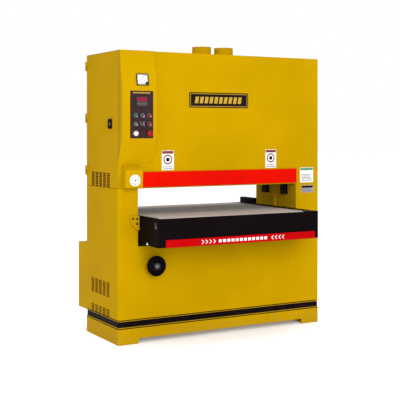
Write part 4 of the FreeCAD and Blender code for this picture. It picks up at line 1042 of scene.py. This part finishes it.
# %% Gauge
gauge_at = front_middle("gauge_disc", span("gauge_disc")[1][1])
GAUGE = [
    (0.036, 0), (0.036, 0.0042), (0.0352, 0.0056), (0.0338, 0.006), (0.0325, 0.0054), (0.0320, 0.0048),
    (0.0, 0.0048),
]
gauge_face = lathe("gauge_face", "front", gauge_at, GAUGE, white_plastic, 72)
settle(gauge_face, "frame", "white_plastic", "gauge_disc")
GAUGE_PRINT = (0.0047, 0.0050)
DIAL_RING = [(0.0180, 0.0047), (0.0180, 0.0050), (0.0188, 0.0050), (0.0188, 0.0047)]
DIAL_HUB = [(0.0040, 0.0047), (0.0040, 0.0056), (0.0030, 0.0060)]
HAND = [(0, 0.0050), (0, 0.0054)]
hand_at = gauge_at + (0.008, 0, 0.0045)
marks = []
for k, angle in enumerate(math.pi / 2 - np.radians(np.arange(0, 360, 15))):
    reach, half_width = ((0.0225, 0.0300), 0.0015) if k % 3 == 0 else ((0.0255, 0.0300), 0.0008)
    mark = division("front", gauge_at, np.zeros(2), angle, reach, half_width, GAUGE_PRINT, purple_print)
    marks.append(mark)
print("gauge marks:", len(marks))
marks.append(hoop("dial_ring", "front", gauge_at, DIAL_RING, purple_print))
marks.append(lathe("dial_hub", "front", gauge_at, DIAL_HUB, black_plastic, 32))
marks.append(plate("hand", "front", hand_at, (0.020, 0.0016), 0.0006, HAND, black_plastic, 2))
settle(join("gauge_marks", marks), "frame", "printed_plate")


# %% Nameplate
name_at = np.array([LEFT + 0.711, FRONT, 1.5045])
BORDER, BORDER_WIDE = (0.426, 0.083), 0.0035
border_loop = [(0, 0), (0, 0.0002), (BORDER_WIDE, 0.0002), (BORDER_WIDE, 0)]
border_rings = plate_rings("front", name_at + (0, -0.0009, 0), BORDER, 0.005, border_loop, 4)
NAME_EDGE = [(0, 0), (0, 0.0007), (0.0003, 0.0009)]
settle(join("nameplate", [
    plate("name_base", "front", name_at, (0.440, 0.097), 0.008, NAME_EDGE, black_print),
    skin("name_border", border_rings, gold_paint, closed_path=True, smooth=False),
]), "frame", "printed_plate", "info_plates")
ornament_at = name_at + (-0.003, -0.0008, 0)
sloped_blocks("name_ornament", ornament_at, (0.355, 0.042), 10, 0.008, gold_paint, "frame", "printed_plate")
print("nameplate at", np.round(name_at, 3))


# %% Labels
PRINT = 0.0001


def label(name, x, z, band, band_share, ring=True, card=white_print):
    """A plate with a coloured band on top, and under it a plain ring and bars, or bars alone."""
    middle = np.array([LEFT + (x[0] + x[1]) / 2, FRONT, (z[0] + z[1]) / 2])
    wide, high = x[1] - x[0], z[1] - z[0]
    face = middle + (0, -0.0008, 0)
    band_at = face + (0, 0, high * (1 - band_share) / 2 - 0.003)
    parts = [
        plate("card", "front", middle, (wide, high), 0.004, [(0, 0), (0, 0.0006), (0.0002, 0.0008)], card),
        plate("band", "front", band_at, (wide - 0.006, high * band_share), 0.001, layer(PRINT), band, 2),
    ]
    for k, share in enumerate(np.linspace(-0.43, -0.33, 2) if ring else np.linspace(-0.36, 0.02, 5)):
        bar_at, bar_size = face + (-0.002 * k, 0, share * high), (wide * (0.80 - 0.04 * k), high * 0.035)
        parts.append(plate("bar", "front", bar_at, bar_size, 0.0006, layer(PRINT), grey_print, 2))
    if ring:
        radius, ring_at = wide * 0.36, face + (0, 0, high * 0.04)
        section = [(radius * 0.74, 0), (radius * 0.74, PRINT), (radius, PRINT), (radius, 0)]
        parts.append(hoop("ring", "front", ring_at, section, red_print, 40))
        disc = [(radius * 0.42, 0), (radius * 0.42, PRINT)]
        parts.append(lathe("disc", "front", ring_at, disc, black_print, 24))
    settle(join(name, parts), "frame", "printed_plate")
    print(name, np.round([wide, high], 3))


label("label_left", (0.296, 0.381), (1.062, 1.185), red_print, 0.14)
label("label_middle", (1.067, 1.152), (1.062, 1.185), red_print, 0.14)
label("label_upper", (1.347, 1.457), (0.958, 1.060), green_print, 0.16, ring=False)
label("label_lower", (1.358, 1.456), (0.890, 0.939), black_print, 0.30, ring=False, card=silver_print)


# %% [markdown]
# ## Table trim, stop strip and handwheel
#
# The table's front cover wraps round both corners, each in one bend.  The stop strip is a red
# painted bar with plain white arrows that point at its middle, and the lift's handwheel is a
# dished black casting with a black hub and a bright nut.

# %% Front cover
cover_low, cover_high = span("table_front_cover")
bend = np.linspace(0, math.pi / 2, 9)
COVER_BEND_X, COVER_BEND_Y, COVER_EDGE = 0.006, 0.0045, 0.0006
bend_x = cover_low[0] + COVER_BEND_X * (1 - np.sin(bend))
bend_y = cover_low[1] + COVER_BEND_Y * (1 - np.cos(bend))
cover_path = np.concatenate([
    [[cover_low[0], cover_high[1]]],
    np.column_stack([bend_x, bend_y])[::-1], np.column_stack([cover_low[0] + cover_high[0] - bend_x, bend_y]),
    [[cover_high[0], cover_high[1]]],
])
cover_heights = (cover_low[2], cover_low[2] + COVER_EDGE, cover_high[2] - COVER_EDGE, cover_high[2])
cover_rings = np.array([at_rise(cover_path, height) for height in cover_heights])
cover_shell = sharpen(skin("table_front_shell", cover_rings, black_enamel))
settle(cover_shell, "table", "painted_black", "table_front_cover")
print("table cover", np.round(cover_high - cover_low, 3))


# %% Stop strip and its marks
strip_low, strip_high = span("stop_strip")
strip_size = (strip_high - strip_low)[[0, 2]]
strip_at, strip_face = (front_middle("stop_strip", depth) for depth in (strip_high[1], strip_low[1]))
STRIP_EDGE = [(0, 0), (0, 0.0048), (0.0012, 0.006)]
strip = plate("stop_strip_bar", "front", strip_at, strip_size, 0.004, STRIP_EDGE, strip_enamel)
settle(strip, "stop_bar", "painted_red", "stop_strip")
CHEVRON = np.array([[-0.4, 0.5], [-0.1, 0.5], [0.4, 0.0], [-0.1, -0.5], [-0.4, -0.5], [0.1, 0.0]]) * 0.024


def chevrons(name, side):
    """Four arrow heads on one side of the strip, -1 for left and 1 for right, that point at its middle."""
    outline = CHEVRON[::-1] if side < 0 else CHEVRON * (-1, 1)
    places = [strip_face + (side * share * strip_size[0], 0, 0) for share in (0.27, 0.245, 0.22, 0.195)]
    parts = [raised("arrow", "front", place, outline, (0.0, FILM), white_print) for place in places]
    settle(join(name, parts), "stop_bar", "white_plastic")


chevrons("strip_arrows_left", -1)
chevrons("strip_arrows_right", 1)
sloped_blocks("strip_blocks", strip_face, (0.36, 0.018), 12, 0.0, white_print, "stop_bar", "white_plastic")
print("stop strip", np.round(strip_size, 3))


# %% Handwheel
hub_at = front_middle("handwheel", FRONT)
WHEEL = [
    (0.010, -0.178), (0.010, 0.008), (0.020, 0.008), (0.022, 0.038), (0.052, 0.039), (0.058, 0.037),
    (0.0635, 0.042), (0.064, 0.050), (0.0615, 0.0565), (0.0565, 0.0575), (0.0525, 0.054), (0.050, 0.0485),
    (0.024, 0.0535), (0.0215, 0.0560),
]
HUB = [(0.0215, 0.0545), (0.0215, 0.0575), (0.0195, 0.0590), (0.0125, 0.0592)]
NUT = [(0.0105, 0.0585), (0.0105, 0.0595), (0.0085, 0.0600)]
BOSS = [(0.0205, 0.0), (0.0205, 0.0015), (0.019, 0.0025), (0.0125, 0.0025)]
settle(join("lift_handwheel", [
    lathe("wheel_casting", "front", hub_at, WHEEL, black_enamel, 96, 18, 0.0022, (6, 7, 8)),
    lathe("wheel_hub", "front", hub_at, HUB, black_plastic, 48),
    lathe("wheel_nut", "front", hub_at, NUT, chrome, 6),
    # The nut's bore is a black disc painted as the shade inside it.
    lathe("wheel_recess", "front", hub_at, [(0.004, 0.0590), (0.004, 0.06005)], void_black, 24),
]), "handwheel", "black_plastic", "handwheel")
settle(lathe("wheel_boss", "front", hub_at, BOSS, bright_steel, 40), "frame", "bright_steel")
print("handwheel at", np.round(hub_at, 3))


# %% [markdown]
# ## Dust ports
#
# Each suction spigot is rolled from sheet with a beaded lip that keeps the hose on, and is
# riveted to the roof through its flange.

# %% Spigots
port_low, port_high = span("dust_ports")
rise = port_high[2] - port_low[2]
BORE, OUTSIDE, FLANGE, RIVET_CIRCLE, PORT_PITCH = 0.0615, 0.0635, 0.0800, 0.0725, 0.170
section = [
    (BORE, -0.003), (BORE, rise - 0.001), (0.0620, rise), (0.0630, rise), (OUTSIDE, rise - 0.001),
    (OUTSIDE, rise - 0.004), (0.0624, rise - 0.005), (0.0624, rise - 0.012), (OUTSIDE, rise - 0.013),
    (OUTSIDE, 0.0045), (0.0650, 0.0030), (0.0790, 0.0030), (FLANGE, 0.0022), (FLANGE, 0.0), (0.0640, 0.0),
]
port_centres = [np.array([port_low[0] + FLANGE + side * PORT_PITCH, 0.0, port_low[2]]) for side in (0, 1)]
spigots = [hoop("spigot", "up", centre, section, yellow_enamel, 96) for centre in port_centres]
settle(join("dust_spigots", spigots), "frame", "painted_yellow", "dust_ports")
rivets = [
    centre + (RIVET_CIRCLE * math.cos(a), RIVET_CIRCLE * math.sin(a), 0.003)
    for centre in port_centres for a in np.radians(np.arange(22.5, 360, 45))
]
socket_screws("port_rivets", "up", rivets, 0.0035, 0.0018, "frame", bright_steel)


# %% [markdown]
# ## Gusset, latch and height arrow
#
# Three bolts hold the gusset on the table's left side.  The door's paddle latch has a dark lock
# barrel with a key slot, and a small white arrow marks the table's height at its corner.

# %% Small fittings
(gusset_left, gusset_face, _), (gusset_right, _, gusset_top) = span("side_gusset")
gusset_bolts = [
    (gusset_right - 0.016, gusset_face, gusset_top - 0.020),
    (gusset_right - 0.016, gusset_face, gusset_top - 0.050),
    (gusset_left + 0.018, gusset_face, gusset_top - 0.018),
]
hex_bolts("gusset_bolts", "front", gusset_bolts, 0.0055, 0.0035, "table", black_plastic)
latch_low, latch_high = span("door_latch")
latch_at = np.array([latch_low[0], (latch_low[1] + latch_high[1]) / 2, (latch_low[2] + latch_high[2]) / 2])
BARREL = [(0.010, -0.001), (0.010, 0.0012), (0.0085, 0.0020), (0.0040, 0.0020)]
# The key slot is a thin plate painted black as the shade inside the slot.
slot_at = latch_at + (-0.0020, 0, 0)
settle(join("latch_lock", [
    lathe("latch_barrel", "left", latch_at, BARREL, dark_steel, 32),
    plate("key_slot", "left", slot_at, (0.0014, 0.009), 0.0004, layer(), void_black, 2),
]), "latch", "bright_steel")
arrow_at = (TABLE_LOW[0], TABLE_LOW[1] + 0.150, 0.626)
ARROW = np.array([[-0.016, -0.007], [0.016, -0.007], [0.0, 0.009]])
height_arrow = raised("height_arrow", "left", arrow_at, ARROW, (0.0, 0.0004), white_print)
settle(height_arrow, "table", "white_plastic")
print("latch at", np.round(latch_at, 3))


# %% [markdown]
# ## Seams at the base band
#
# The black band sits in a channel, and the sheets above and below it are lapped over its lips.
# Each lap shows as a dark line.  A line could be painted in the material, but a narrow strip
# carried round the cabinet's outline keeps its width in every view.

# %% Two seams
SEAM_HIGH, BURIED, PROUD, LAP = 0.006, 0.001, 0.0004, 0.007


def seam(height, corner):
    """A strip along the cabinet's outline, with a small rectangle standing at each outline point."""
    wide, deep = RIGHT - LEFT, BACK - FRONT
    inner, outer = (
        rounded_loop(wide + 2 * out, deep + 2 * out, corner + out, 8) for out in (-BURIED, PROUD)
    )
    section = ((inner, 0.5), (outer, 0.5), (outer, -0.5), (inner, -0.5))
    rings = np.stack([at_rise(loop, height + share * SEAM_HIGH) for loop, share in section], 1)
    return sharpen(skin("seam", rings, void_black, closed_path=True))


band_low, band_high = span("base_band")
seams = [seam(band_high[2] + LAP, 0.022), seam(band_low[2] - LAP, 0.002)]
settle(join("band_seams", seams), "frame", "painted_black")
print("seams at", round(band_low[2] - LAP, 3), "and", round(band_high[2] + LAP, 3))


# %% [markdown]
# ## Floor
#
# The floor is a pale seamless sheet.  Its size is larger than any view of the machine.

# %% Floor
floor_finish, at = new_finish("studio_floor")
dress(floor_finish, {
    "Base Color": at.noise(0.6).mix((0.88, 0.88, 0.88), (0.92, 0.92, 0.92)), "Roughness": 0.8,
    "Specular IOR Level": 0.1, "Emission Color": (1.0, 1.0, 1.0), "Emission Strength": 0.17,
})
EDGE = 40.0
corners = np.array([[-EDGE, -EDGE, 0], [EDGE, -EDGE, 0], [EDGE, EDGE, 0], [-EDGE, EDGE, 0]])
mesh_piece("floor", corners, [[0, 1, 2, 3]], floor_finish)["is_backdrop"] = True
print("floor is", 2 * EDGE, "m wide")


# %% Size and finish
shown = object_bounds()
for name, box in (("CAD box", cad_box), ("shown", shown)):
    print(name, [list(np.round(corner, 3)) for corner in box])
